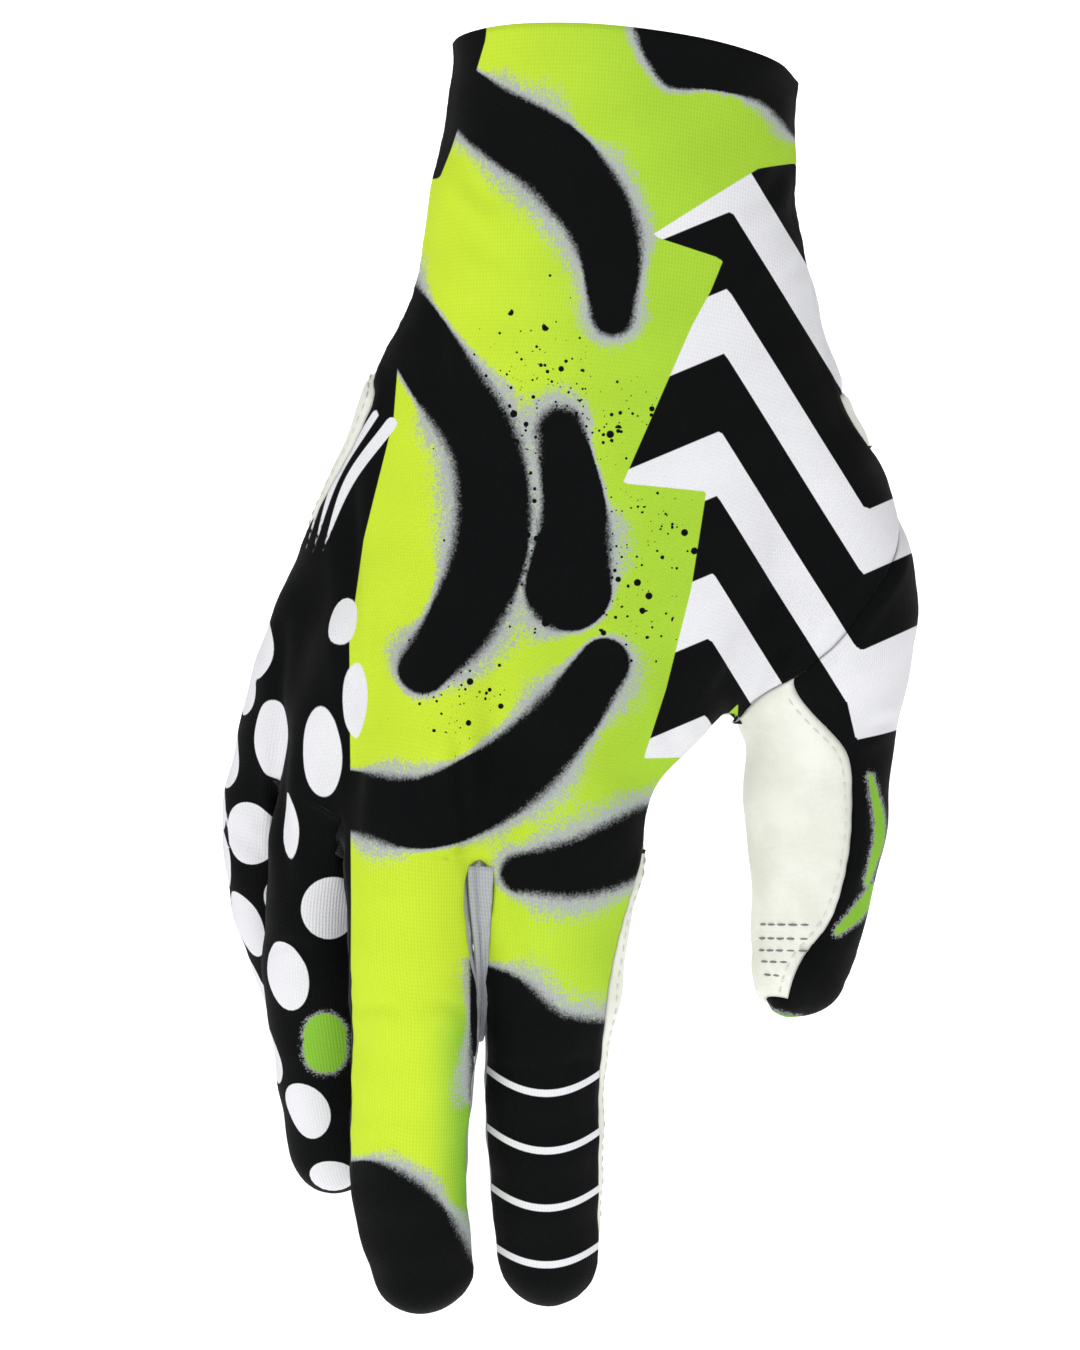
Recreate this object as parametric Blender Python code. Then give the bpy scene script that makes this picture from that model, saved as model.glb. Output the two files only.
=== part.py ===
"""Right-hand motocross glove, filled as if worn: the hand hangs fingers down with its back to -Y.

The hand's outer form is a smooth union of tubes: one for the wrist and hand, one for each finger, one for the
thumb and one for the web beside it. Narrow slots keep the fingers apart. Every panel is a loft of quads whose
points are found along rays from a base inside the hand to the surface of that form. A panel's outer and inner
faces are two levels of the same form, so neighbouring panels share their seam lines and stay parallel there.
The frame is +X towards the thumb, +Y towards the palm and +Z up to the cuff, in metres. The origin is the
centre of the cuff's mouth.
"""

import bpy
import numpy as np

# Driving sizes
GLOVE_LENGTH = 0.239        # cuff mouth to middle fingertip, along Z
HAND_BREADTH = 0.090        # across the knuckles
CUFF_WIDTH = 0.0646         # mouth, thumb side to little finger side
CUFF_DEPTH = 0.050          # mouth, back to palm
FINGER_WIDTH = 0.0226       # a finger's diameter at its middle joint
THUMB_WIDTH = 0.0285        # the thumb's diameter at its root
FABRIC_WALL = 0.0012        # printed stretch fabric
LEATHER_WALL = 0.0015       # synthetic leather
SEAM_GAP = 0.0008           # between two panels along a seam
FINGER_GAP = 0.0008         # between neighbouring fingers
CROTCH_GAP = 0.0032         # between fingers at the bottom of their crotch
RIM_RISE = 0.012            # how much higher the mouth is at its back than at its palm
RIM_DROP = 0.0067           # how much lower the mouth is on the thumb side

# Numbers of quads
HAND_ROWS = 18              # cuff mouth to knuckles
KNUCKLE_ROWS = 4            # knuckles to the finger crotches
FINGER_ROWS = 11            # crotch to the centre of the fingertip
TIP_ROWS = 3                # over the fingertip
FINGER_COLUMNS = 6          # across the back or the front of one finger
THUMB_SIDE_COLUMNS = 6      # from the middle of the index finger to the thumb's side
FOURCHETTE_COLUMNS = 3      # from back to front of a finger's side
THUMB_ROWS = 13             # thumb seam to the centre of the thumb's tip
THUMB_COLUMNS = 12          # around the thumb
PALM_TOP_ROW = 8            # hand row where the leather palm begins

# Sections of the tubes. Columns: across as a share of HAND_BREADTH, down of GLOVE_LENGTH, behind of CUFF_DEPTH,
# half width and half depth of the width and depth named with each table, and the roll of the section in degrees.
# Body sections: half width in shares of HAND_BREADTH, half depth in shares of CUFF_DEPTH
BODY_SECTIONS = [
    (-0.022, 0.107, -0.010, 0.386, 0.460, 0),
    (-0.027, 0.183, -0.020, 0.418, 0.420, 2),
    (-0.053, 0.258, -0.020, 0.450, 0.390, 5),
    (-0.112, 0.322, 0.000, 0.467, 0.370, 8),
    (-0.169, 0.386, 0.020, 0.467, 0.340, 11),
    (-0.232, 0.449, 0.060, 0.444, 0.290, 14),
    (-0.296, 0.505, 0.100, 0.400, 0.240, 17),
    (-0.338, 0.541, 0.120, 0.356, 0.180, 18),
]
CUFF_OVERRUN = 0.048        # how far the body tube runs up past the mouth, share of GLOVE_LENGTH
# Finger sections: half width and half depth in shares of FINGER_WIDTH. The third is the knuckle, the fourth the
# crotch and the last the centre of the fingertip.
LITTLE_SECTIONS = [
    (-0.412, 0.290, 0.080, 0.398, 0.398, 0),
    (-0.566, 0.394, 0.280, 0.465, 0.509, 30),
    (-0.671, 0.497, 0.420, 0.496, 0.509, 45),
    (-0.728, 0.560, 0.520, 0.451, 0.451, 48),
    (-0.749, 0.624, 0.590, 0.434, 0.425, 50),
    (-0.737, 0.668, 0.640, 0.425, 0.412, 50),
    (-0.703, 0.712, 0.720, 0.398, 0.394, 50),
    (-0.669, 0.753, 0.820, 0.363, 0.363, 50),
]
RING_SECTIONS = [
    (-0.264, 0.290, -0.020, 0.398, 0.398, 0),
    (-0.458, 0.417, 0.040, 0.487, 0.531, 15),
    (-0.555, 0.497, 0.100, 0.509, 0.553, 22),
    (-0.612, 0.584, 0.180, 0.478, 0.487, 25),
    (-0.644, 0.664, 0.260, 0.469, 0.478, 25),
    (-0.646, 0.727, 0.340, 0.469, 0.465, 25),
    (-0.633, 0.799, 0.440, 0.438, 0.434, 22),
    (-0.616, 0.864, 0.560, 0.389, 0.389, 20),
]
MIDDLE_SECTIONS = [
    (-0.116, 0.290, -0.060, 0.398, 0.398, 0),
    (-0.285, 0.425, -0.100, 0.487, 0.531, 6),
    (-0.391, 0.521, -0.120, 0.553, 0.575, 8),
    (-0.450, 0.624, -0.100, 0.560, 0.540, 6),
    (-0.450, 0.704, -0.060, 0.527, 0.522, 4),
    (-0.441, 0.759, 0.000, 0.544, 0.513, 2),
    (-0.452, 0.815, 0.080, 0.504, 0.496, 0),
    (-0.456, 0.894, 0.220, 0.491, 0.469, 0),
    (-0.433, 0.956, 0.360, 0.434, 0.425, 0),
]
INDEX_SECTIONS = [
    (0.032, 0.290, -0.040, 0.398, 0.398, 0),
    (-0.027, 0.425, -0.060, 0.487, 0.531, 0),
    (-0.099, 0.537, -0.080, 0.575, 0.575, 0),
    (-0.142, 0.634, -0.040, 0.700, 0.560, 0),
    (-0.152, 0.712, 0.040, 0.611, 0.531, 0),
    (-0.167, 0.791, 0.160, 0.513, 0.500, 0),
    (-0.169, 0.863, 0.280, 0.482, 0.469, 0),
    (-0.167, 0.918, 0.390, 0.456, 0.442, 0),
    (-0.160, 0.952, 0.460, 0.416, 0.407, 0),
]
KNUCKLE_ROW = 2
CROTCH_ROW = 3
# Thumb sections: half width and half depth in shares of THUMB_WIDTH
THUMB_SECTIONS = [
    (0.296, 0.211, 0.080, 0.281, 0.421, 0),
    (0.369, 0.290, 0.100, 0.386, 0.491, 0),
    (0.439, 0.370, 0.160, 0.456, 0.526, 0),
    (0.460, 0.433, 0.200, 0.505, 0.526, 0),
    (0.426, 0.497, 0.240, 0.519, 0.509, 0),
    (0.412, 0.553, 0.260, 0.495, 0.474, 0),
    (0.407, 0.600, 0.260, 0.477, 0.456, 0),
    (0.395, 0.656, 0.260, 0.414, 0.421, 0),
    (0.380, 0.704, 0.240, 0.351, 0.368, 0),
    (0.369, 0.719, 0.220, 0.316, 0.323, 0),
]
# Web between the index finger and the thumb: shares of FINGER_WIDTH
WEB_SECTIONS = [
    (-0.137, 0.505, -0.080, 0.575, 0.487, 0),
    (0.032, 0.497, -0.020, 0.553, 0.420, 0),
    (0.158, 0.471, 0.060, 0.509, 0.376, 0),
    (0.264, 0.457, 0.120, 0.553, 0.398, 0),
    (0.433, 0.425, 0.200, 0.531, 0.442, 0),
]

# Ball of the thumb, between the wrist and the web: shares of THUMB_WIDTH
THUMB_BALL_SECTIONS = [
    (0.060, 0.240, 0.100, 0.500, 0.400, 0),
    (0.200, 0.320, 0.140, 0.550, 0.450, 0),
    (0.300, 0.400, 0.180, 0.550, 0.470, 0),
    (0.360, 0.455, 0.200, 0.500, 0.450, 0),
]

# Seam around the thumb's root, from its top over the back to the web and back under the palm.
# Columns: how far down the thumb, as a share of GLOVE_LENGTH, and the angle around it in degrees, 0 facing -Y.
THUMB_SEAM_RING = [
    (0.362, 100), (0.394, 52), (0.425, 15), (0.461, -6), (0.486, -24), (0.502, -58), (0.511, -90),
    (0.514, -118), (0.503, -148), (0.477, -175), (0.441, -200), (0.401, -228), (0.362, -260),
]
WEB_INSIDE = (0.289, 0.469, 0.160)      # across, down and behind of the point that the web's rays start from
WEB_EDGE = (0.232, 0.517, 0.080)        # the web's lowest point on the thumb's side
# Seam from the web to the index finger's side. Columns: share of the way from knuckle to crotch, then across,
# down and behind of the ray's base and of the seam.
WEB_SEAM = [
    (0.00, 0.289, 0.469, 0.160, 0.232, 0.517, 0.080),
    (0.25, 0.190, 0.473, 0.080, 0.184, 0.518, 0.040),
    (0.50, 0.084, 0.497, 0.020, 0.141, 0.541, 0.020),
    (0.75, -0.032, 0.553, -0.060, 0.091, 0.571, -0.020),
    (1.00, -0.135, 0.624, -0.040, 0.053, 0.624, -0.060),
]
# Seams down a finger. Columns: share of the way from crotch to tip, angle of the back panel's edge from the
# finger's back, angle of the palm panel's edge from the finger's front.
FOURCHETTE_SEAMS = [(0.0, 55, 50), (0.15, 62, 58), (0.4, 72, 62), (0.7, 78, 66), (1.0, 88.3, 88.3)]
INDEX_SIDE_SEAM = [(0.0, 46, 134), (0.2, 50, 130), (0.45, 68, 112), (0.7, 76, 104), (1.0, 88.3, 91.7)]
LITTLE_SIDE_SEAM = [(0.0, 90, 90), (0.5, 90, 90), (1.0, 88.3, 91.7)]
# Seams of the thumb patch. Columns: share of the thumb's length, angle of the front seam, angle of the back seam.
PATCH_SEAMS = [
    (0.0, -24, -200), (0.1, 12, -195), (0.25, 33, -185), (0.6, 39, -175), (0.75, 30, -165), (0.88, 0, -150),
    (1.0, -45, -130),
]
PATCH_FRONT_COLUMN = 4      # ring point where the patch's front seam starts
PATCH_BACK_COLUMN = 10      # ring point where its back seam starts
HEEL_WRAP = 22              # degrees by which the leather wraps on to the back at the heel of the hand

# Where the parts of the hand begin, as shares of the way from the cuff's mouth to the knuckles
KNUCKLE_DOWN = 0.521        # the knuckle row, share of GLOVE_LENGTH
FINGER_ROOTS = 0.55         # the finger tubes begin
FINGERS_BLEND = (0.40, 0.95)
THUMB_BLEND = (0.36, 0.695)  # the second is the top of the thumb's seam
HEEL_RANGE = (0.44, 0.52, 0.74, 0.90)
RIM_RANGE = 0.16            # rows above this follow the tilt of the mouth
WRIST_INSET = 0.62          # how far out the wrist's rays start, share of its half width
THUMB_INSET_EXTRA = 0.33    # how much further out they start on the thumb's side
CROTCH_RANGE = 0.16         # share of a finger over which its section closes

# Roundness of the joins, in shares of FINGER_WIDTH
HAND_BLEND = 0.40
CROTCH_BLEND = 0.36
TIP_BLEND = 0.045
THUMB_ROOT_BLEND = 0.40
WEB_BLEND = 0.35
SLOT_BLEND = 0.066
SLOT_START = 0.18           # how far past the seam corner a slot begins
SLOT_RUN = 0.8              # distance over which a slot narrows
WEB_BASE_BACK = 0.22        # how far inside the crotch its rays start
WEB_REACH = 0.44

SURFACE_STEPS = 14
SURFACE_POLISH = 4


def smooth(x):
    x = np.clip(x, 0, 1)
    return x * x * (3 - 2 * x)


def unit(v):
    return v / np.maximum(np.linalg.norm(v, axis=-1, keepdims=True), 1e-12)


def mix(a, b, w):
    """a where w is 0 and b where it is 1, with w one number for each point."""
    return a + (b - a) * np.asarray(w)[..., None]


def smooth_min(a, b, radius):
    h = np.maximum(radius - np.abs(a - b), 0) / radius
    return np.minimum(a, b) - h * h * radius / 4


def place(across, down, behind):
    """The point at these shares of the glove's sizes."""
    return np.stack([
        np.asarray(across) * HAND_BREADTH,
        np.asarray(behind) * CUFF_DEPTH,
        -np.asarray(down) * GLOVE_LENGTH,
    ], -1)


def curve_through(knots, values, s):
    """A smooth curve through the rows of values, with slopes weighed by the distances between the knots."""
    step = np.diff(knots)
    slope = np.diff(values, axis=0) / step[:, None]
    tangent = np.empty_like(values)
    tangent[1:-1] = (slope[:-1] * step[1:, None] + slope[1:] * step[:-1, None]) / (step[1:] + step[:-1])[:, None]
    tangent[0] = slope[0]
    tangent[-1] = slope[-1]
    i = np.clip(np.searchsorted(knots, s, side="right") - 1, 0, len(step) - 1)
    h = step[i]
    t = ((s - knots[i]) / h)[..., None]
    h = h[..., None]
    start = (1 + 2 * t) * (1 - t) ** 2 * values[i] + t * (1 - t) ** 2 * h * tangent[i]
    return start + t * t * (3 - 2 * t) * values[i + 1] + t * t * (t - 1) * h * tangent[i + 1]


class Tube:
    """A tube of oval sections along a smooth curve, with a rounded end."""

    SAMPLES = 48
    TANGENT_STEP = 1e-4

    def __init__(self, sections, width, depth):
        rows = np.array(sections, float)
        centres = place(rows[:, 0], rows[:, 1], rows[:, 2])
        self.knots = np.concatenate([[0], np.cumsum(np.linalg.norm(np.diff(centres, axis=0), axis=1))])
        self.data = np.column_stack([centres, rows[:, 3] * width, rows[:, 4] * depth, np.radians(rows[:, 5])])
        self.length = self.knots[-1]
        self.s = np.linspace(0, self.length, self.SAMPLES)
        self.line = self.at(self.s)

    def at(self, s):
        """Centre, across, outward, along, half width and half depth at these distances along the tube."""
        s = np.clip(np.asarray(s, float), 0, self.length)
        row = curve_through(self.knots, self.data, s)
        ahead = curve_through(self.knots, self.data, np.clip(s + self.TANGENT_STEP, 0, self.length))
        behind = curve_through(self.knots, self.data, np.clip(s - self.TANGENT_STEP, 0, self.length))
        along = unit(ahead[..., :3] - behind[..., :3])
        roll = row[..., 5]
        back = np.stack([-np.sin(roll), -np.cos(roll), np.zeros_like(roll)], -1)
        back = unit(back - (back * along).sum(-1, keepdims=True) * along)
        return row[..., :3], np.cross(back, along), back, along, row[..., 3], row[..., 4]

    def at_height(self, z):
        """Distance along the tube at this height."""
        return np.interp(-np.asarray(z), -self.line[0][:, 2], self.s)

    def distance(self, p):
        """Distance from each point to the tube's surface, along the line to its centre, negative inside."""
        centre = self.line[0]
        nearest = np.argmin((centre ** 2).sum(1)[None] - 2 * p @ centre.T, axis=1)
        best, best_gap = None, None
        for step in (0, -1):
            j = np.clip(nearest + step, 0, len(centre) - 2)
            span = centre[j + 1] - centre[j]
            h = np.clip(((p - centre[j]) * span).sum(1) / (span ** 2).sum(1), 0, 1)
            section = [
                v[j] + (h[:, None] if v.ndim == 2 else h) * (v[j + 1] - v[j]) for v in self.line
            ]
            gap = ((p - section[0]) ** 2).sum(1)
            if best is None:
                best, best_gap = section, gap
                continue
            closer = gap < best_gap
            best = [np.where(closer[:, None] if v.ndim == 2 else closer, v, w) for v, w in zip(section, best)]
        middle, across, back, along, half_width, half_depth = best
        d = p - middle
        x, y, z = ((d * axis).sum(1) for axis in (across, back, along))
        end = (half_width + half_depth) / 2
        share = np.sqrt((x / half_width) ** 2 + (y / half_depth) ** 2 + (z / end) ** 2) + 1e-9
        reach = np.sqrt(x * x + y * y + z * z) + 1e-9 * end
        return reach * (1 - 1 / share)


class Slot:
    """The space between two neighbouring fingers: a thin slice with a rounded bottom in their crotch."""

    SAMPLES = 40
    DEPTH_SHARE = 0.66

    def __init__(self, first, second):
        share = np.linspace(0, 1, self.SAMPLES)
        one = first.at(first.knots[CROTCH_ROW] + (first.length - first.knots[CROTCH_ROW]) * share)
        two = second.at(second.knots[CROTCH_ROW] + (second.length - second.knots[CROTCH_ROW]) * share)
        middle = mix(one[0], two[0], one[4] / (one[4] + two[4]))
        across = unit(two[0] - one[0])
        along = np.gradient(middle, axis=0)
        along = unit(along - (along * across).sum(-1, keepdims=True) * across)
        travelled = np.concatenate([[0], np.cumsum(np.linalg.norm(np.diff(middle, axis=0), axis=1))])
        keep = travelled >= SLOT_START * FINGER_WIDTH
        travelled = travelled[keep] - travelled[keep][0]
        narrowing = 1 - smooth(travelled / (SLOT_RUN * FINGER_WIDTH))
        half = (FINGER_GAP + (CROTCH_GAP - FINGER_GAP) * narrowing) / 2
        beyond = np.linspace(0.15, 1.8, 8)[:, None] * FINGER_WIDTH
        middle = middle[keep]
        self.middle = np.concatenate([middle, middle[-1] + along[-1] * beyond])
        self.across = np.concatenate([across[keep], np.repeat(across[-1:], len(beyond), 0)])
        self.along = np.concatenate([along[keep], np.repeat(along[-1:], len(beyond), 0)])
        self.half = np.concatenate([half, np.repeat(half[-1:], len(beyond))])

    def inside(self, p):
        """How far each point is inside the slot, negative outside it."""
        j = np.argmin((self.middle ** 2).sum(1)[None] - 2 * p @ self.middle.T, axis=1)
        d = p - self.middle[j]
        x, z = (d * self.across[j]).sum(1), (d * self.along[j]).sum(1)
        y = (d * np.cross(self.along[j], self.across[j])).sum(1)
        radius = np.where((j == 0) & (z < 0), np.hypot(x, z), np.abs(x))
        return self.half[j] - radius - 2 * np.maximum(0, np.abs(y) - self.DEPTH_SHARE * FINGER_WIDTH)


def body_sections():
    """The hand's sections, with the cuff's two made from the mouth's own sizes."""
    mouth = [(0.0, down, 0.0, CUFF_WIDTH / HAND_BREADTH / 2, 0.5, 0) for down in (-CUFF_OVERRUN, 0.0)]
    return mouth + BODY_SECTIONS


BODY = Tube(body_sections(), HAND_BREADTH, CUFF_DEPTH)
FINGERS = [
    Tube(sections, FINGER_WIDTH, FINGER_WIDTH)
    for sections in (LITTLE_SECTIONS, RING_SECTIONS, MIDDLE_SECTIONS, INDEX_SECTIONS)
]
THUMB = Tube(THUMB_SECTIONS, THUMB_WIDTH, THUMB_WIDTH)
THUMB_BALL = Tube(THUMB_BALL_SECTIONS, THUMB_WIDTH, THUMB_WIDTH)
WEB = Tube(WEB_SECTIONS, FINGER_WIDTH, FINGER_WIDTH)
SLOTS = [Slot(first, second) for first, second in zip(FINGERS, FINGERS[1:])]


def form(p, blend):
    """The hand's outer form at each point: 0 on its surface, negative inside."""
    f = BODY.distance(p)
    for finger in FINGERS:
        f = smooth_min(f, finger.distance(p), blend)
    f = smooth_min(f, THUMB_BALL.distance(p), WEB_BLEND * FINGER_WIDTH)
    f = smooth_min(f, WEB.distance(p), WEB_BLEND * FINGER_WIDTH)
    f = smooth_min(f, THUMB.distance(p), THUMB_ROOT_BLEND * FINGER_WIDTH)
    for slot in SLOTS:
        f = -smooth_min(-f, -slot.inside(p), SLOT_BLEND * FINGER_WIDTH)
    return f


def on_surface(base, target, blend, level):
    """The first place along each ray from base to target where the form equals the level."""
    shape = base.shape
    base = base.reshape(-1, 3)
    ray = unit(target.reshape(-1, 3) - base)
    blend = np.broadcast_to(blend, shape[:-1]).reshape(-1)
    t = np.zeros(len(base))
    for _ in range(SURFACE_STEPS):
        t -= 0.9 * (form(base + ray * t[:, None], blend) - level)
    probe = 1e-5
    longest_step = 0.002
    flattest = 0.15
    for _ in range(SURFACE_POLISH):
        here = form(base + ray * t[:, None], blend) - level
        slope = (form(base + ray * (t + probe)[:, None], blend) - level - here) / probe
        t -= np.clip(here / np.maximum(slope, flattest), -longest_step, longest_step)
    return (base + ray * t[:, None]).reshape(shape)


def body_distance_along(share):
    return BODY.at_height(-share * KNUCKLE_DOWN * GLOVE_LENGTH)


def finger_in_hand(finger, share):
    """Distance along a finger's tube for this share of the way from the cuff to the knuckles."""
    inside = np.clip((share - FINGER_ROOTS) / (1 - FINGER_ROOTS), 0, 1)
    return finger.knots[0] + (finger.knots[KNUCKLE_ROW] - finger.knots[0]) * inside


def finger_past_knuckle(finger, share):
    knuckle, crotch = finger.knots[KNUCKLE_ROW], finger.knots[CROTCH_ROW]
    return knuckle + (crotch - knuckle) * share


def finger_past_crotch(finger, share):
    return finger.knots[CROTCH_ROW] + (finger.length - finger.knots[CROTCH_ROW]) * share


def oval(section, angle, side):
    """The point of a section at this angle from its back, or from its front where side is -1."""
    centre, across, back, _, half_width, half_depth = section
    return (
        centre
        + across * (half_width * np.sin(angle))[..., None]
        + side * back * (half_depth * np.cos(angle))[..., None]
    )


def thumb_ring(turn):
    """Base and target of the rays to the thumb's seam, and where they lie on the thumb. Turn runs 0 to 1."""
    rows = np.array(THUMB_SEAM_RING, float)
    found = curve_through(np.linspace(0, 1, len(rows)), rows, turn)
    s = THUMB.at_height(-found[..., 0] * GLOVE_LENGTH)
    angle = np.radians(found[..., 1])
    section = THUMB.at(s)
    from_crotch = np.abs(turn - 0.5) * (len(rows) - 1)
    base = mix(section[0], np.broadcast_to(place(*WEB_INSIDE), section[0].shape), smooth(1 - from_crotch / 3))
    target = oval(section, angle, 1)
    target = mix(target, np.broadcast_to(place(*WEB_EDGE), target.shape), smooth(1 - from_crotch))
    return base, target, s, angle


def thumb_side_in_hand(share, side):
    """Rays to the seam on the thumb's side, from the cuff to the web."""
    section = BODY.at(body_distance_along(share))
    base = section[0] + section[1] * (WRIST_INSET * section[4])[..., None]
    target = section[0] + section[1] * section[4][..., None]
    down = np.minimum(share * KNUCKLE_DOWN, THUMB_SEAM_RING[0][0])
    thumb_section = THUMB.at(THUMB.at_height(-down * GLOVE_LENGTH))
    top_angle = np.full(share.shape, np.radians(THUMB_SEAM_RING[0][1]))
    w = smooth((share - THUMB_BLEND[0]) / (THUMB_BLEND[1] - THUMB_BLEND[0]))
    base, target = mix(base, thumb_section[0], w), mix(target, oval(thumb_section, top_angle, 1), w)
    round_share = np.clip((share - THUMB_BLEND[1]) / (1 - THUMB_BLEND[1]), 0, 1)
    ring_base, ring_target, _, _ = thumb_ring(round_share / 2 if side > 0 else 1 - round_share / 2)
    on_ring = (share >= THUMB_BLEND[1])[..., None]
    return np.where(on_ring, ring_base, base), np.where(on_ring, ring_target, target)


def thumb_side_past_knuckle(share):
    rows = np.array(WEB_SEAM, float)
    found = curve_through(rows[:, 0], rows[:, 1:], share)
    return place(*np.moveaxis(found[..., :3], -1, 0)), place(*np.moveaxis(found[..., 3:], -1, 0))


def between(k, other, distance_at, share):
    """Point between two fingers, with its outward and along directions and its half depth."""
    here = FINGERS[k].at(distance_at(FINGERS[k], share))
    there = FINGERS[other].at(distance_at(FINGERS[other], share))
    across = unit(there[0] - here[0]) * (other - k)
    along = unit(here[3] + there[3])
    along = unit(along - (along * across).sum(-1, keepdims=True) * across)
    middle = mix(here[0], there[0], here[4] / (here[4] + there[4]))
    return middle, np.cross(along, across), along, (here[5] + there[5]) / 2


def heel_wrap(share):
    start, full, fade, end = HEEL_RANGE
    return np.radians(HEEL_WRAP) * smooth((share - start) / (full - start)) * smooth((end - share) / (end - fade))


def finger_rays_in_hand(k, distance_at, share, q, side, thumb_side, wrap):
    """Rays to one finger's strip of the hand's back or front. q runs -1 to 1 across the strip."""
    section = FINGERS[k].at(distance_at(FINGERS[k], share))
    centre, across, back, _, half_width, half_depth = section
    w = np.abs(q)
    base, target = np.empty(centre.shape), np.empty(centre.shape)
    for sign in (-1, 1):
        here = q * sign >= 0
        other = k + sign
        if 0 <= other < len(FINGERS):
            middle, outward, _, depth = between(k, other, distance_at, share)
            ray_base = mix(centre, middle, w)
            direction = unit(mix(back, outward, w))
            ray_target = ray_base + side * direction * (half_depth + (depth - half_depth) * w)[..., None]
        elif sign < 0:
            ray_base = centre
            ray_target = oval(section, -w * (np.pi / 2 - side * wrap), side)
        else:
            ray_base, ray_target = fan((centre, centre + side * back * half_depth[..., None]), thumb_side, w, 3)
        base[here], target[here] = ray_base[here], ray_target[here]
    return base, target


def wrist_section(share, angle, side):
    """The hand's sections, taken where their points at these angles are all at the row's own height."""
    height = -share * KNUCKLE_DOWN * GLOVE_LENGTH
    s = BODY.at_height(height)
    for _ in range(3):
        section = BODY.at(s)
        s = BODY.at_height(section[0][..., 2] + height - oval(section, angle, side)[..., 2])
    return BODY.at(s)


def wrist_rays(share, angle, side):
    """Rays from beside the wrist's middle line. They stand nearer to square on the thumb's side."""
    section = wrist_section(share, angle, side)
    inset = np.where(angle > 0, WRIST_INSET + THUMB_INSET_EXTRA * smooth((share - 0.2) / 0.25), WRIST_INSET)
    base = section[0] + section[1] * (inset * section[4] * np.sin(angle))[..., None]
    return base, oval(section, angle, side)


def fan(first, last, w, bend=1):
    """Rays that turn from the first ones to the last ones."""
    start, end = (np.linalg.norm(target - base, axis=-1) for base, target in (first, last))
    directions = [unit(target - base) for base, target in (first, last)]
    base = mix(first[0], last[0], w)
    return base, base + unit(mix(*directions, w ** bend)) * (start + (end - start) * w)[..., None]


def hand_rays(k, share, q, side):
    """From the cuff's mouth to the knuckles: sections of the wrist that turn into the fingers' strips."""
    wrap = heel_wrap(share)
    edge = thumb_side_in_hand(share, side)
    by_thumb = (k == len(FINGERS) - 1) & (q > 0)
    angle = ((k + (np.where(by_thumb, 0, q) + 1) / 2) / 2 - 1) * np.pi / 2
    angle = angle + side * wrap * np.clip(-angle / (np.pi / 2), 0, 1)
    base, target = wrist_rays(share, angle, side)
    if by_thumb.any():
        base, target = fan((base, target), edge, np.where(by_thumb, q, 0))
    slope_x, slope_y = -RIM_DROP / CUFF_WIDTH, -RIM_RISE / CUFF_DEPTH
    tilt = (slope_x * target[..., 0] + slope_y * target[..., 1]) * np.clip(1 - share / RIM_RANGE, 0, 1)
    target[..., 2] += tilt
    base[..., 2] += tilt
    finger_base, finger_target = finger_rays_in_hand(k, finger_in_hand, share, q, side, edge, wrap)
    w = smooth((share - FINGERS_BLEND[0]) / (FINGERS_BLEND[1] - FINGERS_BLEND[0]))
    return mix(base, finger_base, w), mix(target, finger_target, w)


def knuckle_rays(k, share, q, side):
    edge = thumb_side_past_knuckle(share)
    return finger_rays_in_hand(k, finger_past_knuckle, share, q, side, edge, np.zeros_like(share))


def seam_angle(k, sign, share, side):
    """Angle of the panel's edge on this side of the finger, from the finger's back or front."""
    if k == 0 and sign < 0:
        seam = LITTLE_SIDE_SEAM
    elif k == len(FINGERS) - 1 and sign > 0:
        seam = INDEX_SIDE_SEAM
    else:
        seam = FOURCHETTE_SEAMS
    rows = np.array(seam, float)
    return np.radians(np.interp(share, rows[:, 0], rows[:, 1 if side > 0 else 2]))


def finger_rays(k, share, q, side):
    section = FINGERS[k].at(finger_past_crotch(FINGERS[k], share))
    angle = q * np.where(q < 0, seam_angle(k, -1, share, side), seam_angle(k, 1, share, side))
    crotch_base, crotch_target = knuckle_rays(k, np.ones_like(share), q, side)
    w = smooth(share / CROTCH_RANGE)
    return mix(crotch_base, section[0], w), mix(crotch_target, oval(section, angle, side), w)


def tip_rays(k, share, q, side):
    """Over a fingertip: a patch of the round end, bounded by its first row, its two sides and the tip seam."""
    section = FINGERS[k].at(np.full(share.shape, FINGERS[k].length))
    centre, across, back, along, half_width, half_depth = section
    zero = np.zeros_like(share)
    left, right = seam_angle(k, -1, zero + 1, side), seam_angle(k, 1, zero + 1, side)
    turn = np.pi / 2 - share * np.pi / 4
    corner = np.sin(np.pi / 4)

    def direction(x, y, z):
        return np.stack([x + zero, y + zero, z + zero], -1)

    def edge(sign, seam):
        return direction(sign * np.sin(turn), np.cos(seam) * (1 - share) ** 2, np.cos(turn))

    start_angle = q * np.where(q < 0, left, right)
    start = direction(np.sin(start_angle), np.cos(start_angle), 0)
    end = direction(np.sin(q * np.pi / 4), 0, np.cos(q * np.pi / 4))
    v = (q + 1) / 2
    ends = mix(start, end, share)
    sides = mix(edge(-1, left), edge(1, right), v)
    start_chord = mix(direction(-np.sin(left), np.cos(left), 0), direction(np.sin(right), np.cos(right), 0), v)
    end_chord = mix(direction(-corner, 0, corner), direction(corner, 0, corner), v)
    d = unit(ends + sides - mix(start_chord, end_chord, share))
    reach = (
        across * (d[..., 0] * half_width)[..., None]
        + side * back * (d[..., 1] * half_depth)[..., None]
        + along * (d[..., 2] * (half_width + half_depth) / 2)[..., None]
    )
    return centre, centre + reach


def crotch_blend(share):
    return FINGER_WIDTH * (CROTCH_BLEND + (TIP_BLEND - CROTCH_BLEND) * smooth(share / 0.3))


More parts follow.
